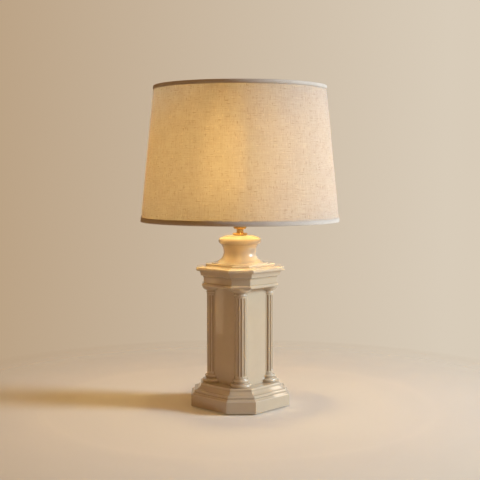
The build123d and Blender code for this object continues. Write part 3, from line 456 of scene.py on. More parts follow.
def cream_glaze(settings):
    """Cream gloss glaze on slip-cast earthenware: wet-looking, a touch darker where it pools in grooves and
    paler where it runs thin over an arris, with the slow unevenness of a poured glaze."""
    material, tree = new_material("cream gloss glaze")
    thin, deep = rgb(settings.glaze_thin), rgb(settings.glaze_deep)
    place = add(tree, "TexCoord", out="Object")
    mottle = add(tree, "TexNoise", {"Vector": place, "Scale": 1 / (34 * MM), "Detail": 3.0})
    grain = add(tree, "TexNoise", {"Vector": place, "Scale": 1 / (1.6 * MM)})
    wander = add(tree, "MapRange", (mottle, 0.3, 0.7, -0.1, 0.1))
    edge = add(tree, "Math", (add(tree, "Attribute", out="Fac", attribute_name="edge"), wander))
    base = layered(tree, rgb(settings.glaze), (edge, 0.15, 0.9, 0.75, thin), (edge, -0.1, -0.85, 0.7, deep),
                   (mottle, 0.25, 0.8, 0.16, deep), (grain, 0.62, 0.8, 0.1, deep))
    ripple = add(tree, "TexNoise", {"Vector": place, "Scale": 1 / (16 * MM)})
    pits = add(tree, "TexNoise", {"Vector": place, "Scale": 1 / (2.2 * MM)})
    normal = add(tree, "Bump", {"Height": ripple, "Distance": 0.2 * MM, "Strength": 0.5})
    normal = add(tree, "Bump", {"Height": pits, "Normal": normal, "Distance": 0.02 * MM, "Strength": 0.7})
    gloss = add(tree, "MapRange", (mottle, 0.2, 0.8, 0.04, 0.08))
    shader = add(tree, "BsdfPrincipled", {
        "Base Color": base, "Normal": normal, "Roughness": gloss, "IOR": 1.52, "Coat Weight": 1.0,
        "Coat Roughness": 0.02, "Coat IOR": 1.5})
    add(tree, "OutputMaterial", (shader,))
    return material


def wool_felt(settings):
    """Pressed wool felt: matt, dark, with loose fibres that catch a little light."""
    material, tree = new_material("pressed wool felt")
    place = add(tree, "TexCoord", out="Object")
    flat = add(tree, "Mapping", {"Vector": place, "Scale": (1.0, 1.0, 2.5)})
    fibres = add(tree, "TexNoise", {"Vector": flat, "Scale": 1 / (1.3 * MM), "Detail": 5.0, "Roughness": 0.7})
    tufts = add(tree, "TexNoise", {"Vector": place, "Scale": 1 / (7 * MM)})
    base = layered(tree, rgb(settings.felt, 0.45), (fibres, 0.3, 0.7, 1.0, rgb(settings.felt, 1.7)),
                   (tufts, 0.4, 0.8, 0.5, rgb(settings.felt)))
    normal = add(tree, "Bump", {"Height": fibres, "Distance": 0.5 * MM})
    shader = add(tree, "BsdfPrincipled", {
        "Base Color": base, "Normal": normal, "Roughness": 0.95, "Sheen Weight": 0.4, "Sheen Roughness": 0.5})
    add(tree, "OutputMaterial", (shader,))
    return material


def metal(name, bright, dark, roughness, turning=0.3 * MM, drawn_out=(0.03, 0.03, 1.0)):
    """Metal with fine tool marks drawn out round or along it, and toned patches where hands have been."""
    material, tree = new_material(name)
    place = add(tree, "TexCoord", out="Object")
    lines = add(tree, "Mapping", {"Vector": place, "Scale": drawn_out})
    marks = add(tree, "TexNoise", {"Vector": lines, "Scale": 1 / turning})
    tone = add(tree, "TexNoise", {"Vector": place, "Scale": 1 / (11 * MM), "Detail": 4.0, "Roughness": 0.6})
    specks = add(tree, "TexNoise", {"Vector": place, "Scale": 1 / (1.1 * MM), "Detail": 3.0})
    base = layered(tree, rgb(bright), (tone, 0.42, 0.75, 0.7, rgb(dark)), (specks, 0.62, 0.78, 0.4, rgb(dark)))
    patchy = add(tree, "MapRange", (tone, 0.3, 0.8, roughness * 0.8, roughness * 1.5))
    brushed = add(tree, "MapRange", (marks, 0.2, 0.8, -0.05, 0.06))
    normal = add(tree, "Bump", {"Height": marks, "Distance": 0.02 * MM, "Strength": 0.6})
    rough = add(tree, "Math", (patchy, brushed))
    shader = add(tree, "BsdfPrincipled", {
        "Base Color": base, "Roughness": rough, "Normal": normal, "Metallic": 1.0})
    add(tree, "OutputMaterial", (shader,))
    return material


def moulded_plastic(name, colour, roughness, grain=0.9 * MM):
    """Moulded plastic or rubber: an even colour with a fine grain and faint flow marks."""
    material, tree = new_material(name)
    place = add(tree, "TexCoord", out="Object")
    fine = add(tree, "TexNoise", {"Vector": place, "Scale": 1 / grain, "Detail": 3.0})
    flow = add(tree, "TexNoise", {"Vector": place, "Scale": 1 / (14 * MM)})
    rough = add(tree, "MapRange", (flow, 0.2, 0.8, roughness * 0.85, min(1.0, roughness * 1.2)))
    tint = linear(colour)
    base = layered(tree, rgb(tint), (flow, 0.3, 0.75, 0.6, rgb(tint, 1.6)))
    normal = add(tree, "Bump", {"Height": fine, "Distance": 0.03 * MM, "Strength": 0.8})
    shader = add(tree, "BsdfPrincipled", {"Base Color": base, "Normal": normal, "Roughness": rough})
    add(tree, "OutputMaterial", (shader,))
    return material


def varnished_card():
    """Brown card rolled into a sleeve and varnished: short fibres and a dull shine."""
    material, tree = new_material("varnished card")
    place = add(tree, "Mapping", {"Vector": add(tree, "TexCoord", out="Object"), "Scale": (1.0, 1.0, 0.25)})
    fibres = add(tree, "TexNoise", {"Vector": place, "Scale": 1 / (0.9 * MM), "Detail": 4.0, "Roughness": 0.7})
    base = layered(tree, rgb(linear("#8a7150")), (fibres, 0.3, 0.7, 1.0, rgb(linear("#b79a70"))))
    normal = add(tree, "Bump", {"Height": fibres, "Distance": 0.05 * MM})
    shader = add(tree, "BsdfPrincipled", {"Base Color": base, "Normal": normal, "Roughness": 0.6})
    add(tree, "OutputMaterial", (shader,))
    return material


def lit_glass(settings):
    """Frosted bulb glass, lit: an even warm glow, a little dimmer towards the neck, under a satin skin."""
    material, tree = new_material("frosted glass, lit")
    place = add(tree, "TexCoord", out="Object")
    height = add(tree, "SeparateXYZ", {"Vector": place}, "Z")
    powder = add(tree, "TexNoise", {"Vector": place, "Scale": 1 / (1.0 * MM), "Detail": 3.0})
    base = layered(tree, rgb(linear("#f4efe6")), (powder, 0.3, 0.7, 1.0, rgb(linear("#e6dfd2"))))
    light = layered(tree, rgb(settings.glow, 0.4), (height, 0.44, 0.49, 1.0, rgb(settings.glow)))
    normal = add(tree, "Bump", {"Height": powder, "Distance": 0.03 * MM, "Strength": 0.5})
    shader = add(tree, "BsdfPrincipled", {
        "Base Color": base, "Normal": normal, "Roughness": 0.4, "IOR": 1.5, "Emission Color": light,
        "Emission Strength": settings.strength})
    add(tree, "OutputMaterial", (shader,))
    return material


def clear_glass():
    """Clear lead glass of the mount inside the bulb."""
    material, tree = new_material("clear mount glass")
    seeds = add(tree, "TexNoise", {"Vector": add(tree, "TexCoord", out="Object"), "Scale": 1 / (3 * MM)})
    normal = add(tree, "Bump", {"Height": seeds, "Distance": 0.05 * MM})
    shader = add(tree, "BsdfPrincipled", {
        "Base Color": rgb(linear("#e8eeec")), "Normal": normal, "Roughness": 0.03, "IOR": 1.52,
        "Transmission Weight": 1.0})
    add(tree, "OutputMaterial", (shader,))
    return material


def let_through(tree, front, colour, normal, forward, share):
    """A thin sheet's front shader, and for a share of it the light from behind: spread evenly by the
    sheet, and for the forward part of it carried nearly straight on."""
    spread = add(tree, "BsdfTranslucent", {"Color": colour, "Normal": normal})
    ahead = add(tree, "BsdfRefraction", {"Color": colour, "Roughness": 1.0, "IOR": 1.5})
    behind = add(tree, "MixShader", (forward, spread, ahead))
    add(tree, "OutputMaterial", (add(tree, "MixShader", (share, front, behind)),))


def slub_linen(settings):
    """Oatmeal linen of uneven hand: each thread has its own tone, short thick slubs and pale loose fibres
    lie along both directions, and the light inside shows through the thin places more than through the
    slubs.

    Threads run 1 mm apart, a little coarser than real shade linen, so that they show from near by.
    """
    material, tree = new_material("oatmeal slub linen")
    place = add(tree, "UVMap", uv_map="metres")
    waves = []
    for axis in "XY":
        wave = add(tree, "SeparateXYZ", {"Vector": place}, axis)
        wave = add(tree, "Math", (wave, math.pi / settings.thread), operation="MULTIPLY")
        wave = add(tree, "Math", (wave,), operation="SINE")
        waves.append(add(tree, "Math", (wave,), operation="ABSOLUTE"))
    weave = add(tree, "Math", waves)
    grain = []
    for scale, detail, roughness in (((22, 640, 1), 3.0, 0.6), ((640, 22, 1), 3.0, 0.6),
                                     ((75, 600, 1), 1.0, 0.5), ((600, 90, 1), 1.0, 0.5)):
        drawn_out = add(tree, "Mapping", {"Vector": place, "Scale": scale})
        grain.append(add(tree, "TexNoise", {
            "Vector": drawn_out, "Scale": 1.0, "Detail": detail, "Roughness": roughness}))
    threads = add(tree, "Math", grain[:2])
    thick = add(tree, "Math", grain[2:], operation="MAXIMUM")
    loose = add(tree, "Math", grain[2:], operation="MINIMUM")
    cloud = add(tree, "TexNoise", {"Vector": place, "Scale": 45.0, "Detail": 2.0})
    dark, against = rgb(settings.slub_dark), rgb(settings.glow_dark)
    base = layered(tree, rgb(settings.linen), (threads, 0.8, 1.25, 0.06, dark),
                   (loose, 0.34, 0.24, 0.4, rgb(settings.slub_light)), (thick, 0.65, 0.73, 0.03, dark))
    glow = layered(tree, rgb(settings.glow), (cloud, 0.3, 0.7, 0.12, against),
                   (threads, 0.8, 1.25, 0.3, against), (loose, 0.34, 0.24, 0.8, rgb(settings.glow_light)),
                   (thick, 0.65, 0.73, 0.75, against))
    raised = add(tree, "MapRange", (thick, 0.65, 0.73))
    height = add(tree, "Math", (weave, 0.15, raised), operation="MULTIPLY_ADD")
    normal = add(tree, "Bump", {"Height": height, "Distance": 0.3 * MM, "Strength": 0.2})
    front = add(tree, "BsdfPrincipled", {
        "Base Color": base, "Normal": normal, "Roughness": 0.9, "Specular IOR Level": 0.2})
    let_through(tree, front, glow, normal, 0.42, 0.54)
    return material


def styrene_backing(settings):
    """White styrene film laminated behind the linen: satin and translucent, with the faint cross-hatch of
    the cloth pressed into it."""
    material, tree = new_material("white styrene backing")
    place = add(tree, "UVMap", uv_map="metres")
    hatch = add(tree, "TexNoise", {"Vector": place, "Scale": 500.0})
    film = add(tree, "TexNoise", {"Vector": place, "Scale": 12.0})
    base = layered(tree, rgb(settings.backing), (film, 0.3, 0.7, 1.0, rgb(settings.backing, 0.88)))
    normal = add(tree, "Bump", {"Height": hatch, "Distance": 0.04 * MM})
    front = add(tree, "BsdfPrincipled", {"Base Color": base, "Normal": normal, "Roughness": 0.5})
    let_through(tree, front, base, normal, 0.25, 0.31)
    return material


def woven_tape(settings):
    """Woven trim tape: close ribs across its width, drawn 1.6 mm apart so that they show, with painted
    shade darkening the grooves between them, and a soft matt face."""
    material, tree = new_material("woven trim tape")
    place = add(tree, "UVMap", uv_map="metres")
    along = add(tree, "SeparateXYZ", {"Vector": place}, "X")
    wave = add(tree, "Math", (along, 2 * math.pi / (1.6 * MM)), operation="MULTIPLY")
    ribs = add(tree, "Math", (wave,), operation="SINE")
    fine = add(tree, "Mapping", {"Vector": place, "Scale": (900, 300, 1)})
    broad = add(tree, "Mapping", {"Vector": place, "Scale": (35, 60, 1)})
    fibres = add(tree, "TexNoise", {"Vector": fine, "Scale": 1.0, "Detail": 4.0, "Roughness": 0.6})
    tone = add(tree, "TexNoise", {"Vector": broad, "Scale": 1.0})
    dark = rgb(settings.tape_rib_shade_and_fibre)
    # Painted shade: the tape is darker in the grooves between the ribs; the same colour also tints random
    # fibres.
    base = layered(tree, rgb(settings.tape), (ribs, 0.4, -1.0, 0.45, dark), (fibres, 0.35, 0.75, 0.3, dark),
                   (tone, 0.4, 0.8, 0.25, rgb(settings.slub_light)))
    normal = add(tree, "Bump", {
        "Height": add(tree, "Math", (ribs, fibres)), "Distance": 0.12 * MM, "Strength": 0.8})
    shader = add(tree, "BsdfPrincipled", {"Base Color": base, "Normal": normal, "Roughness": 0.85})
    add(tree, "OutputMaterial", (shader,))
    return material


def table_top(settings):
    """Plain matt table top. The camera, and the lamp's metal and glass, see it run out into the plain
    background between 0.4 m and 0.8 m from the lamp, while the light finds it everywhere. Beyond 0.7 m it is
    painted darker, in the shaded wall's colour, as painted shade outside the pool of the lamp's light. From
    below it is see-through, so that the foot's underside shows."""
    material, tree = new_material("plain matt table")
    place = add(tree, "Mapping", {"Vector": add(tree, "TexCoord", out="Object"), "Scale": (1, 1, 0)})
    away = add(tree, "VectorMath", (place,), "Value", operation="LENGTH")
    seen = seen_plainly(tree)
    gone = add(tree, "Math", (add(tree, "MapRange", (away, 0.4, 0.8)), seen), operation="MULTIPLY")
    gone = add(tree, "Math", (gone, add(tree, "NewGeometry", out="Backfacing")), operation="MAXIMUM")
    # Painted shade: beyond 0.7 m the table top takes the shaded wall's colour, standing for the dark outside
    # the lamp's pool of light, which the glaze mirrors.
    colour = layered(tree, rgb(settings.floor), (away, 0.7, 0.8, 1.0, rgb(settings.wall_shade)))
    matt = add(tree, "BsdfPrincipled", {"Base Color": colour, "Roughness": 0.9, "Specular IOR Level": 0.2})
    lift = add(tree, "Math", (seen, settings.lift), operation="MULTIPLY")
    pale = add(tree, "Emission", {"Color": rgb(linear("#ffd9a0")), "Strength": lift})
    clear = add(tree, "BsdfTransparent")
    add(tree, "OutputMaterial", (add(tree, "MixShader", (gone, add(tree, "AddShader", (matt, pale)), clear)),))
    return material


# ---- Pieces: the body ----
PLINTH = [
    (44, 42.7, 0), (66, 42.7, 0), (75.7, 28, 0), (75.7, 20, 0), (81.704, 20, 0), (81.704, 3, 0),
    (90.704, 3, 0), (91.704, 4, 0), (91.704, 26, 0), (89.704, 28, 0.586), (86.304, 31, 0), (84.904, 31, 0),
    (84.904, 32.4, 0), (85.604, 32.4, 0), (83.404, 36.8, 0.75), (81.404, 36.8, 0), (72.804, 44.2, -1.3),
    (72.804, 47.6, 0), (71.404, 49.2, 0), (44, 49.2, 0),
]
ENTABLATURE = [
    (40, 248, 0), (67.854, 248, 0), (67.854, 254.6, 1.65), (66.004, 254.6, 0), (66.004, 265, 0),
    (71.604, 270.6, -1.5), (74.604, 280.2, -0.5), (79.404, 280.2, 0), (79.404, 287.8, 1.8),
    (61.704, 290.3, 0), (61.704, 293.6, 0), (60.804, 294.5, 0), (40, 294.5, 0),
]
COLUMN = [
    (20.35, 49.0, 0), (20.35, 55.8, 1.65), (15.6, 55.8, 0), (15.0, 58.6, -0.6), (15.0, 64.2, 1.4),
    (13.6, 64.2, 0), (12.4, 66.6, -0.4), (12.4, 69.6, 0), (12.4, 70.0, 0), (12.4, 70.7, 0),
    (12.4, 71.4, 0), (12.4, 72.1, 0), (12.4, 110, 0), (12.4, 150, 0), (12.4, 190, 0), (12.4, 227.1, 0),
    (12.4, 227.8, 0), (12.4, 228.5, 0), (12.4, 229.2, 0), (12.4, 229.6, 0), (12.4, 232.6, 0),
    (12.4, 236.2, 1.3), (12.4, 238.8, 0), (21.3, 245.6, 2.0), (21.3, 248.2, 0),
]
SHAFT_ENDS = 69.5 * MM, 229.7 * MM
FLUTE_ENDS = 72.1 * MM, 227.1 * MM
NECK_FOOT = [
    (58.5, 295.9), (52.0, 297.0), (45.7, 299.2), (40.0, 302.8), (35.8, 307.9), (33.83, 314.2),
    (33.95, 320.9), (35.9, 327.2), (39.4, 332.9),
]
NECK_RIM = [
    (39.4, 332.9, 0), (41.4, 334.3, 0), (41.6, 345.7, 2.7), (17, 352, 1.9), (5.6, 352, 0), (5.6, 346, 0),
]


def pillar_mesh(settings):
    """Pillar and its four columns as one skin.

    Each quarter of the plan is drawn in polar form about its column's axis. The radius there is the soft
    maximum of the column's own radius and the distance to the pillar's wall, so glaze seems to have run into
    the corner between them. The soft maximum of a and b adds h squared times a quarter of the softness to
    the greater, where h falls from 1 to 0 as their difference grows to the softness. A flute takes its circle
    out of the column's radius, and at its two ends the circle shrinks as a ball's does.
    """
    profile = softened(outline(COLUMN, 10), 0.5 * MM)
    place, wall = settings.column_place, settings.pillar_half
    gap = wall - place
    middle = 135 - math.degrees(math.atan2(gap, place))
    half = np.concatenate([np.arange(0, 104, 2.0), [104.5, 106, 108, 110.5, 113, 116, 119, 122, middle]])
    offset = np.radians(np.concatenate([-half[::-1], half[1:-1]]))
    angle = math.pi / 4 + offset
    side = np.where(offset < 0, np.cos(angle), np.sin(angle))
    distance = np.where(side > 0.05, gap / np.maximum(side, 0.05), 0.0)
    distance = np.where(np.abs(offset) > math.radians(45), distance, 0.0)
    radius, height = profile[:, :1], profile[:, 1:]
    centre = settings.flute_radius - settings.flute_depth
    step = 2 * math.pi / settings.flutes
    swing = (offset + step / 2) % step - step / 2
    into_end = np.clip(np.maximum(FLUTE_ENDS[0] - height, height - FLUTE_ENDS[1]), 0, settings.flute_radius)
    round_ = np.sqrt(settings.flute_radius ** 2 - into_end ** 2)
    on_shaft = (height > SHAFT_ENDS[0]) & (height < SHAFT_ENDS[1])
    across = (radius + centre) * np.sin(swing)
    inside = np.maximum(round_ ** 2 - across ** 2, 0)
    fluted = (radius + centre) * np.cos(swing) - np.sqrt(inside)
    own = np.where(on_shaft & (inside > 0), np.minimum(radius, fluted), radius + 0 * swing)
    softness = 3.0 * MM
    h = np.maximum(softness - np.abs(own - distance), 0) / softness
    polar = np.maximum(own, distance) + h * h * softness / 4
    x = place + polar * np.cos(angle)
    y = place + polar * np.sin(angle)
    turn = np.arange(4)[:, None, None] * math.pi / 2
    plan_x = np.cos(turn) * x - np.sin(turn) * y
    plan_y = np.sin(turn) * x + np.cos(turn) * y
    points = np.stack([plan_x, plan_y, np.broadcast_to(height, plan_x.shape)], axis=-1)
    points = np.moveaxis(points, 0, 1).reshape(len(profile), -1, 3)
    hollow = -np.clip((radius - own) / settings.flute_depth, 0, 1) * 1.2
    rim = np.exp(-((np.abs(across) - round_ * 0.93) / (0.5 * MM)) ** 2) * on_shaft * 0.8
    shade = bend_of(profile, reach=1.0 * MM)[:, None] + hollow + rim - 0.8 * h
    shade = np.clip(shade, -1, 1) * (own > distance)
    edge = np.tile(shade - 0.6 * h * (own <= distance), 4)
    return surface("pillar_and_columns", points, caps=True, edge=edge)


def neck_mesh():
    """Turned neck: spreading foot, waist and lip on one smooth curve, rolled rim and low crown."""
    start = outline([(40, 294.3, 0), (58.5, 294.3, 0), (58.5, 295.9, 0)])
    curve = np.concatenate([start[:-1], through(NECK_FOOT, 10)[:-1], outline(NECK_RIM, 20)])
    return turned("turned_neck", softened(curve, 0.8 * MM), 128, caps=False)


class LAMP_OT_glazed_body(bpy.types.Operator):
    """Glazed body: plinth, fluted pillar, entablature and turned neck, for the one CAD solid"""

    bl_idname = "lamp.glazed_body"
    bl_label = "Glazed body"

    def execute(self, context):
        settings = context.scene.lamp_body
        glaze = cream_glaze(settings)
        mouldings = [moulded(name, softened(outline(rows, 8), 0.55 * MM, True), settings)
                     for name, rows in (("plinth", PLINTH), ("entablature", ENTABLATURE))]
        plinth, *_ = [add_piece(mesh, "base", glaze, "ceramic_body")
                      for mesh in (*mouldings, pillar_mesh(settings), neck_mesh())]
        bore_lead_hole(plinth)
        return {"FINISHED"}


def bore_lead_hole(plinth):
    """Cuts the hole for the lead's bushing out of the rear face with a Boolean, and keeps the result."""
    radius, reach, height = 5, 8, 11.6 * MM
    rod = turned("cutter", outline([(radius, -reach, 0), (radius, reach, 0)]), 48)
    cutter = put_in_scene("cutter", placed(rod, TO_FRONT, (0, FOOT_HIGH[1] - 5 * MM, height)))
    cut = plinth.modifiers.new("lead hole", "BOOLEAN")
    cut.operation, cut.object, cut.solver = "DIFFERENCE", cutter, "EXACT"
    bpy.context.view_layer.update()
    graph = bpy.context.evaluated_depsgraph_get()
    result = bpy.data.meshes.new_from_object(plinth.evaluated_get(graph))
    plinth.modifiers.clear()
    result.name = "plinth"
    plinth.data = result
    bpy.data.objects.remove(cutter)


class LAMP_OT_foot(bpy.types.Operator):
    """Felt pad, and the plate, washer, nut, rod and bushing under the body"""

    bl_idname = "lamp.foot"
    bl_label = "Foot and rod"

    def execute(self, context):
        body, finish = context.scene.lamp_body, context.scene.lamp_metal
        set_in = 4
        reach = (FOOT_HIGH[0] - body.corner_cut) / MM - set_in
        profile = softened(outline([(30, 0, 0), (reach - 0.3, 0, 0), (reach, 0.5, 0), (reach, 2.7, 0),
                                    (reach - 0.4, 3, 0), (30, 3, 0)]), 0.3 * MM)
        pad = moulded("felt_sheet", profile, body, along=False, caps=True)
        pad = add_piece(pad, "base", wool_felt(body), "felt_pad")
        zinc = metal("zinc plate", finish.steel, dimmed(finish.steel, 0.55), 0.34, 0.5 * MM)
        dress(zinc, "bottom_plate", "bottom_washer", "bottom_nut", "threaded_rod")
        dress(moulded_plastic("black nylon bushing", "#1d1c1b", 0.45), "cord_bushing")
        return {"FINISHED"}


# ---- Pieces: brass neck, socket, harp ----
CHECK_RING = [
    (5.2, 352.6, 0), (15.1, 352.6, 0), (15.1, 354.6, 0.2), (14.0, 355.8, 0.25), (5.2, 355.8, 0),
]
NECK_STEM = [
    (5.2, 355.8, 0), (8.4, 355.8, 0), (8.4, 356.6, 0.3), (7.0, 357.4, -0.3), (7.0, 363.2, 0),
    (7.8, 364.0, -0.2), (5.2, 364.0, 0),
]
NECK_CUP = [
    (5.2, 364.0, 0), (10.6, 364.0, 0), (13.5, 367.4, 0.7), (13.5, 370.4, 0), (12.9, 371.0, 0.15),
    (5.2, 371.0, 0),
]
SOCKET_CAP = [
    (5.2, 376.1, 0), (8.0, 376.1, 0), (8.0, 383.6, 0), (16.9, 390.5, 1.6), (16.9, 395.3, 0),
    (16.6, 396.1, 0.2), (16.1, 396.1, 0), (16.1, 390.8, 0), (7.4, 384.6, -1.4), (5.2, 384.6, 0),
]
SOCKET_SHELL = [
    (15.15, 392.2, 0), (15.95, 392.2, 0), (15.95, 404.0, 0), (16.25, 404.9, 0.2), (15.95, 405.8, 0.2),
    (15.95, 433.3, 0), (16.75, 433.9, 0.1), (16.75, 434.9, 0.3), (15.15, 435.1, 0),
]
SLEEVE = [
    (2.1, 382.4, 0), (2.9, 382.4, 0), (3.2, 382.9, 0.1), (3.2, 401.7, 0), (2.9, 402.2, 0.1),
    (2.1, 402.2, 0),
]
HARP_STUD = [
    (0, 630.0, 0), (4.5, 630.0, 0), (4.6, 631.2, 0.3), (3.1, 631.2, 0), (3.1, 635.5, 0), (9.0, 635.5, 0),
    (9.0, 638.0, 0), (3.1, 638.0, 0), (3.1, 654.9, 0), (2.5, 655.5, 0), (0, 655.5, 0),
]
FINIAL = [
    (3.2, 640.4, 0), (8.4, 640.4, 0), (8.4, 641.6, 0.2), (4.6, 643.8, 0.9), (4.6, 645.2, 0),
    (2.4, 658.4, 3.0), (1.2, 662.4, 0.6), (0, 662.4, 0),
]
HARP_LEG = 28.5


def harp_mesh():
    """Bent wire harp: half of its line is drawn by its headings, mirrored, and swept with a round section
    that is pressed to a flat pad at the top, where the stud goes through.

    A leg bends out and back by two equal arcs, the wide bow closes in by a long arc, and a small one turns
    it level.
    """
    out, up = 29.5, 74.7
    turn = 2 * math.atan2(out, up)
    bend = up / (2 * math.sin(turn))
    back, rise, corner = 18.0, 104.4, 30
    big_turn = 2 * math.atan2(back, rise)
    big_bend = corner + rise / math.sin(big_turn)
    runs = [(28.0, 0), (bend * turn, turn), (bend * turn, -turn), (big_bend * big_turn, -big_turn),
            (corner * (math.pi / 2 - big_turn), big_turn - math.pi / 2), (10.0, 0)]
    runs = [(length * MM, angle) for length, angle in runs]
    right = heading_path(np.array([HARP_LEG, 396.4]) * MM, 0.0, runs)[::4]
    right = right[right[:, 0] > 0.2 * MM]
    path = np.concatenate([right, right[::-1] * (-1, 1)])
    pad_reach, above_bow = 11.5 * MM, 0.6
    pressed = 1 / (1 + np.exp((np.abs(path[:, 0]) - pad_reach) / (1.1 * MM))) * (path[:, 1] > above_bow)
    return swept("harp_bow", path, (2 + 2.4 * pressed) * MM, (2 + 0.05 * pressed) * MM)


class LAMP_OT_brass_neck(bpy.types.Operator):
    """Turned brass ring, stem and cup that show between the body and the shade, and the saddle on them"""

    bl_idname = "lamp.brass_neck"
    bl_label = "Brass neck"

    def execute(self, context):
        brass = lacquered_brass(context.scene.lamp_metal)
        for node, rows in (("check_ring", CHECK_RING), ("neck_stem", NECK_STEM), ("neck_cup", NECK_CUP)):
            add_piece(turned_ring(node + "_turned", rows), "base", brass, node)
        dress(brass, "harp_saddle", "saddle_locknut", "socket_set_screw")
        dress(moulded_plastic("moulded rubber", "#22201e", 0.75, 0.6 * MM), "neck_gasket")
        return {"FINISHED"}


def lacquered_brass(settings):
    """Spun and lacquered brass: warm, with fine lathe lines and a slightly toned film where it has been
    handled. Made once and shared."""
    made = bpy.data.materials.get("lacquered brass")
    return made or metal("lacquered brass", settings.brass, settings.brass_dark, settings.brass_roughness)


class LAMP_OT_socket(bpy.types.Operator):
    """Socket cap and shell, and the finish of what stands inside them"""

    bl_idname = "lamp.socket"
    bl_label = "Socket and switch"

    def execute(self, context):
        finish = context.scene.lamp_metal
        brass = lacquered_brass(finish)
        for node, rows in (("socket_cap", SOCKET_CAP), ("socket_shell", SOCKET_SHELL)):
            add_piece(turned_ring(node + "_spun", rows), "base", brass, node)
        dress(brass, "screw_shell", "centre_contact", "terminal_screws")
        dress(varnished_card(), "socket_liner")
        dress(moulded_plastic("black moulding powder", "#16130f", 0.5), "socket_core")
        phenolic = moulded_plastic("polished phenolic", "#15100c", 0.18, 3 * MM)
        add_piece(knob_mesh(), "knob", phenolic, "switch_knob")
        dark = dimmed(finish.steel, 0.5)
        dress(metal("drawn steel", finish.steel, dark, 0.3, drawn_out=(1.0, 0.05, 0.05)), "switch_shaft")
        return {"FINISHED"}


def knob_mesh():
    """Turned knob along the switch's shaft; round its grip the radius dips as a sharp cosine does."""
    rows = softened(outline([(1.75, 0, 0), (3.6, 0, 0), (3.8, 3.0, -0.1), (5.4, 6.0, 0.15), (5.4, 13.8, 0),
                             (4.2, 15, 0.35), (0, 15, 0.15)], 8), 0.3 * MM)
    angle = full_turn(192)
    radius, height = rows[:, :1], rows[:, 1:]
    depth, grooves = 0.55 * MM, 12
    grip = np.clip((height - 5.6 * MM) / (0.9 * MM), 0, 1) * np.clip((15.2 * MM - height) / (1.2 * MM), 0, 1)
    radius = radius - depth * grip * (radius > 4 * MM) * (0.5 + 0.5 * np.cos(grooves * angle)) ** 3
    mesh = surface("fluted_knob", rings(radius, height, angle), caps=True)
    return placed(mesh, TO_FRONT, (0, -18.95 * MM, 397.8 * MM))


class LAMP_OT_harp(bpy.types.Operator):
    """Wire harp, its stud, and the two sleeves that lock it"""

    bl_idname = "lamp.harp"
    bl_label = "Harp"

    def execute(self, context):
        brass = lacquered_brass(context.scene.lamp_metal)
        add_piece(harp_mesh(), "harp", brass, "harp_wire")
        stud = turned("harp_top_stud", softened(outline(HARP_STUD, 8), 0.3 * MM), 64)
        add_piece(stud, "harp", brass, "harp_stud")
        for side, name in ((-1, "left"), (1, "right")):
            mesh = turned_ring("sleeve_turned_" + name, SLEEVE, 6, 0.15 * MM, 48)
            placed(mesh, np.eye(3), (side * HARP_LEG * MM, 0, 0))
            add_piece(mesh, name + "_sleeve", brass, "sleeve_" + name)
        return {"FINISHED"}


class LAMP_OT_finial(bpy.types.Operator):
    """Turned finial that holds the shade down"""

    bl_idname = "lamp.finial"
    bl_label = "Finial"

    def execute(self, context):
        brass = lacquered_brass(context.scene.lamp_metal)
        mesh = turned("finial_turned", softened(outline(FINIAL, 14), 0.25 * MM), 96)
        add_piece(mesh, "finial", brass, "finial")
        return {"FINISHED"}


# ---- Pieces: bulb ----
GLOBE_SIDE = [
    (12.3, 425.0), (12.3, 430.5), (12.3, 435.6), (14.28, 444.07), (17.91, 451.98), (22.35, 459.48),
    (26.43, 467.18), (29.13, 475.44), (30.0, 484.1),
]


class LAMP_OT_bulb(bpy.types.Operator):
    """Lit bulb: frosted globe, rolled screw base, insulator and contact"""

    bl_idname = "lamp.bulb"
    bl_label = "Bulb"

    def execute(self, context):
        finish = context.scene.lamp_metal
        side = through(GLOBE_SIDE, 8)
        centre, radius = 484.1 * MM, 30 * MM
        quarter = np.linspace(0, math.pi / 2, 24)[1:, None]
        dome = (0, centre) + radius * np.concatenate([np.cos(quarter), np.sin(quarter)], axis=1)
        globe = turned("bulb_globe", np.concatenate([side, dome]), 96)
        add_piece(globe, "bulb", lit_glass(context.scene.lamp_bulb), "bulb_glass")
        aluminium = metal("rolled aluminium", finish.aluminium, dimmed(finish.aluminium, 0.6), 0.3)
        add_piece(screw_base_mesh(), "bulb", aluminium, "bulb_base")
        dress(moulded_plastic("black glass insulator", "#0d0d10", 0.12, 2 * MM), "bulb_insulator")
        dress(metal("solder", linear("#b9b7b0"), linear("#8a8882"), 0.35), "bulb_contact")
        dress(clear_glass(), "bulb_stem")
        dress(metal("drawn tungsten", linear("#8a8682"), linear("#4b4744"), 0.4), "bulb_filament")
        return {"FINISHED"}


def screw_base_mesh():
    """Rolled screw base: a can whose radius is a cosine of its height over the thread's pitch less its
    turn, so the ridge climbs as a helix, with plain ends."""
    low, high, pitch, depth = 413.2 * MM, 435.4 * MM, 3.6 * MM, 0.35 * MM
    height = np.linspace(low, high, 120)[:, None]
    angle = full_turn(96)
    fade = np.clip((height - 414.0 * MM) / (2 * MM), 0, 1) * np.clip((432.0 * MM - height) / (2 * MM), 0, 1)
    wave = np.cos(2 * math.pi * height / pitch - angle)
    radius = 12.9 * MM - depth * fade * (1 - wave)
    foot = np.clip((height - low) / (1.5 * MM), 0, 1)
    radius = radius - 1.2 * MM * (1 - np.sqrt(np.clip(foot * (2 - foot), 0, 1)))
    return surface("screw_base", rings(radius, height, angle), caps=True)


# ---- Pieces: shade ----
RING_WIRE = 1.5 * MM


def shade_line(settings, inset, low=0.0, high=0.0):
    """The shade's slope, set in square to the tape's face, as two points that stop short of the edges by
    low and high."""
    bottom, top = SHADE_LOW[2] + low, SHADE_HIGH[2] - high
    fall = (settings.low_radius - settings.high_radius) / (SHADE_HIGH[2] - SHADE_LOW[2])
    slant = math.hypot(1, fall) * inset
    return np.array([[settings.low_radius - fall * low - slant, bottom],
                     [settings.high_radius + fall * high - slant, top]])


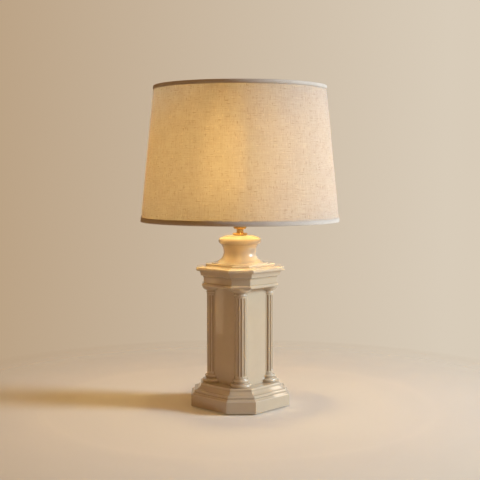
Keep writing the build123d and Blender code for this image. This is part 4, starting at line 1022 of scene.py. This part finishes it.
def sheet_round(name, profile, segments):
    """Sheet whose profile is carried round the axis, with a UV map in metres: u runs round it, by its mean
    radius, and v along the profile."""
    v = np.concatenate([[0], np.cumsum(np.linalg.norm(np.diff(profile, axis=0), axis=1))])[:, None]
    u = np.arange(segments + 1)[None] / segments * 2 * math.pi * profile[:, 0].mean()
    uv = np.stack(np.broadcast_arrays(u, v), axis=-1)
    return surface(name, rings(profile[:, :1], profile[:, 1:], full_turn(segments)), uv=uv)


class LAMP_OT_shade(bpy.types.Operator):
    """Linen shade: cloth, styrene backing, folded tapes, rings and spider"""

    bl_idname = "lamp.shade"
    bl_label = "Shade"

    def execute(self, context):
        settings = context.scene.lamp_shade
        brass = lacquered_brass(context.scene.lamp_metal)
        tape = woven_tape(settings)
        line = shade_line(settings, 1.0 * MM, 1.0 * MM, 1.0 * MM)
        cloth = sheet_round("linen_cloth", np.linspace(*line, 24), 256)
        cloth = add_piece(cloth, "shade", slub_linen(settings), "shade_fabric")
        behind = shade_line(settings, 1.9 * MM, 1.0 * MM, 1.0 * MM)
        film = sheet_round("styrene_film", np.linspace(*behind, 4), 256)
        film = add_piece(film, "shade", styrene_backing(settings), "shade_liner")
        self.tape(settings, tape, upper=False, leg=9.5)
        self.tape(settings, tape, upper=True, leg=8.0)
        self.frame(brass)
        return {"FINISHED"}

    def tape(self, settings, material, upper, leg):
        """A tape folded over one edge: outside leg, rounded fold and inside leg, as rows of how far in it
        lies from the tape's face and how far from the edge, in mm."""
        low, high = shade_line(settings, 0.0)
        fall = (low[0] - high[0]) / (high[1] - low[1])
        edge, way = (high, -1) if upper else (low, 1)
        section = [(0, leg), (0, 0.9), (0.25, 0.25), (0.9, 0), (4.7, 0), (5.5, 0.25), (5.8, 0.9), (5.8, 7)]
        inward, along = np.array(section).T * MM
        radius = edge[0] - inward * math.hypot(1, fall) - way * fall * along
        profile = np.stack([radius, edge[1] + way * along], axis=-1)[::-way]
        mesh = sheet_round("upper_tape" if upper else "lower_tape", profile, 192)
        piece = add_piece(mesh, "shade", material, "top_trim" if upper else "bottom_trim")
        wall = piece.modifiers.new("thickness", "SOLIDIFY")
        wall.thickness, wall.offset = 0.55 * MM, -1

    def frame(self, brass):
        """Top ring, arms and hub as the spider, and the lower ring."""
        circle = np.linspace(0, 2 * math.pi, 24, endpoint=False)[:, None]
        section = RING_WIRE * np.concatenate([np.cos(circle), np.sin(circle)], axis=1)
        low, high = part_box("bottom_ring")
        ring = section + (high[0] - RING_WIRE, (low[2] + high[2]) / 2)
        add_piece(turned("lower_ring", ring, 192, along=True), "shade", brass, "bottom_ring")
        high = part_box("spider_fitter")[1]
        top = (high[0] - RING_WIRE, high[2] - 1.75 * MM)
        ring = turned("upper_ring", section + top, 192, along=True)
        add_piece(ring, "shade", brass, "spider_fitter")
        path = np.array([[9.6 * MM, 639.2 * MM], [top[0] - 0.2 * MM, top[1]]])
        path = np.linspace(*path, 8)
        for number, turn in enumerate((90, 210, 330)):
            arm = swept(f"spider_arm_{number + 1}", path, 1.7 * MM, 1.7 * MM)
            c, s = math.cos(math.radians(turn)), math.sin(math.radians(turn))
            placed(arm, ((c, -s, 0), (s, c, 0), (0, 0, 1)), (0, 0, 0))
            add_piece(arm, "shade", brass, "spider_fitter")
        rows = [(3.25, 638.25, 0), (13, 638.25, 0), (13, 640.15, 0), (3.25, 640.15, 0)]
        hub = turned_ring("spider_hub", rows, arris=0.5 * MM, segments=64)
        add_piece(hub, "shade", brass, "spider_fitter")


# ---- Stage ----
class LAMP_OT_stage(bpy.types.Operator):
    """Camera, pale floor, plain background and soft studio light"""

    bl_idname = "lamp.stage"
    bl_label = "Stage"

    def execute(self, context):
        settings = context.scene.lamp_stage
        scene = context.scene
        camera = put_in_scene("camera", bpy.data.cameras.new("camera"))
        turn, away = settings.azimuth, settings.distance
        camera.location = (away * math.sin(turn), -away * math.cos(turn), settings.height)
        camera.rotation_euler = (math.pi / 2 - settings.pitch, 0, turn)
        camera.data.lens, camera.data.sensor_width = settings.lens, 36.0
        scene.camera = camera
        scene.view_settings.view_transform = "Standard"
        self.floor(settings)
        self.lights(settings)
        self.world(scene, settings)
        return {"FINISHED"}

    def floor(self, settings):
        """Table top far wider than the view: rings of points whose radius grows by a constant factor."""
        smallest, growth, count = 0.05, 1.35, 18
        radius = np.concatenate([[0.0], smallest * growth ** np.arange(count)])[:, None]
        mesh = surface("table_top", rings(radius, 0 * radius, full_turn(96)))
        mesh.flip_normals()
        mesh.materials.append(table_top(settings))
        floor = put_in_scene("table_top", mesh)

    def lights(self, settings):
        """One square soft light, low on the right and a little behind the lamp, that looks at the body. A
        dim strip at the left and a bent one at the back do nothing but show in the glaze: on the shaded
        wall, and on the mouldings at the right end of the foot."""
        turn, rise = settings.key_turn, settings.key_rise
        away, width, aim = 3.0, 0.7, (0, 0, 0.33)
        level = math.cos(rise)
        key = away * np.array((level * math.cos(turn), level * math.sin(turn), math.sin(rise)))
        self.panel("key", settings.key_colour, settings.key, (width, width), key + aim, aim)
        turn, away, height = settings.azimuth + math.radians(183), 0.9, 0.16
        left = (away * math.cos(turn), away * math.sin(turn), height)
        self.panel("strip", linear("#ffdcb0"), 0.022, (0.035, 0.3), left, (0, 0, height))
        bpy.data.objects["strip"].visible_diffuse = False
        self.glint()

    def glint(self):
        """Bent strip of light behind the lamp on the right: an arc about an axis along Y through the foot's
        mouldings, so that each slope of them mirrors it at the same place."""
        x, y, z = 0.083, 0.562, 0.035
        radius = np.linspace(0.47, 0.513, 2)[:, None]
        angle = np.radians(np.linspace(30, 100, 22))
        points = np.stack([x + radius * np.cos(angle), y + 0 * radius * angle, z + radius * np.sin(angle)],
                          axis=-1)
        mesh = surface("glint", points, around=False)
        material, tree = new_material("soft strip of light")
        light = add(tree, "Emission", {"Color": rgb(linear("#fff1e0")), "Strength": 4.0})
        add(tree, "OutputMaterial", (light,))
        mesh.materials.append(material)
        strip = put_in_scene("glint", mesh)
        strip.visible_camera = strip.visible_diffuse = strip.visible_shadow = False

    def panel(self, name, colour, power, size, place, aim):
        """A soft panel of light at a place, turned to face the point aim."""
        light = bpy.data.lights.new(name, "AREA")
        light.shape, light.energy, light.color = "RECTANGLE", power, colour
        light.size, light.size_y = size
        lamp = put_in_scene(name, light)
        lamp.location = place
        lamp.rotation_euler = (Vector(aim) - Vector(place)).to_track_quat("-Z", "Y").to_euler()

    def world(self, scene, settings):
        """Even dim warm light all round; the plain background, seen directly, in gloss and through glass,
        goes from its lit colour on the key light's side to its shaded colour on the other."""
        scene.world = bpy.data.worlds.new("studio")
        scene.world.use_nodes = True
        tree = scene.world.node_tree
        tree.nodes.clear()
        right = (math.cos(settings.azimuth), math.sin(settings.azimuth), 0)
        place = add(tree, "TexCoord", out="Object")
        way = add(tree, "VectorMath", (place, right), "Value", operation="DOT_PRODUCT")
        colour = layered(tree, rgb(settings.wall_shade), (way, -0.27, 0.2, 1.0, rgb(settings.wall)))
        plain = add(tree, "Background", {"Color": colour, "Strength": 1.0})
        light = add(tree, "Background", {"Color": rgb(settings.fill_colour), "Strength": settings.fill})
        add(tree, "OutputWorld", (add(tree, "MixShader", (seen_plainly(tree), light, plain)),))


# ---- Add-on ----
OPERATORS = (LAMP_OT_stage, LAMP_OT_glazed_body, LAMP_OT_foot, LAMP_OT_brass_neck, LAMP_OT_socket, LAMP_OT_harp,
             LAMP_OT_bulb, LAMP_OT_shade, LAMP_OT_finial)


class LAMP_PT_panel(bpy.types.Panel):
    """Lamp's settings and the operators that make it, in order"""

    bl_label = "Column Table Lamp"
    bl_idname = "LAMP_PT_panel"
    bl_space_type = "VIEW_3D"
    bl_region_type = "UI"
    bl_category = "Lamp"

    def draw(self, context):
        for name, group in SETTINGS.items():
            box = self.layout.box()
            for key in group.__annotations__:
                box.prop(getattr(context.scene, name), key)
        for operator in OPERATORS:
            self.layout.operator(operator.bl_idname)


def register():
    for group in SETTINGS.values():
        bpy.utils.register_class(group)
    for name, group in SETTINGS.items():
        setattr(bpy.types.Scene, name, PointerProperty(type=group))
    for cls in (*OPERATORS, LAMP_PT_panel):
        bpy.utils.register_class(cls)


def unregister():
    for cls in (LAMP_PT_panel, *reversed(OPERATORS)):
        bpy.utils.unregister_class(cls)
    for name in SETTINGS:
        delattr(bpy.types.Scene, name)
    for group in reversed(SETTINGS.values()):
        bpy.utils.unregister_class(group)


def main():
    """Makes the whole lamp and its stage."""
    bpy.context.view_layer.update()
    register()
    for operator in OPERATORS:
        group, name = operator.bl_idname.split(".")
        getattr(getattr(bpy.ops, group), name)()


if __name__ == "__main__":
    main()
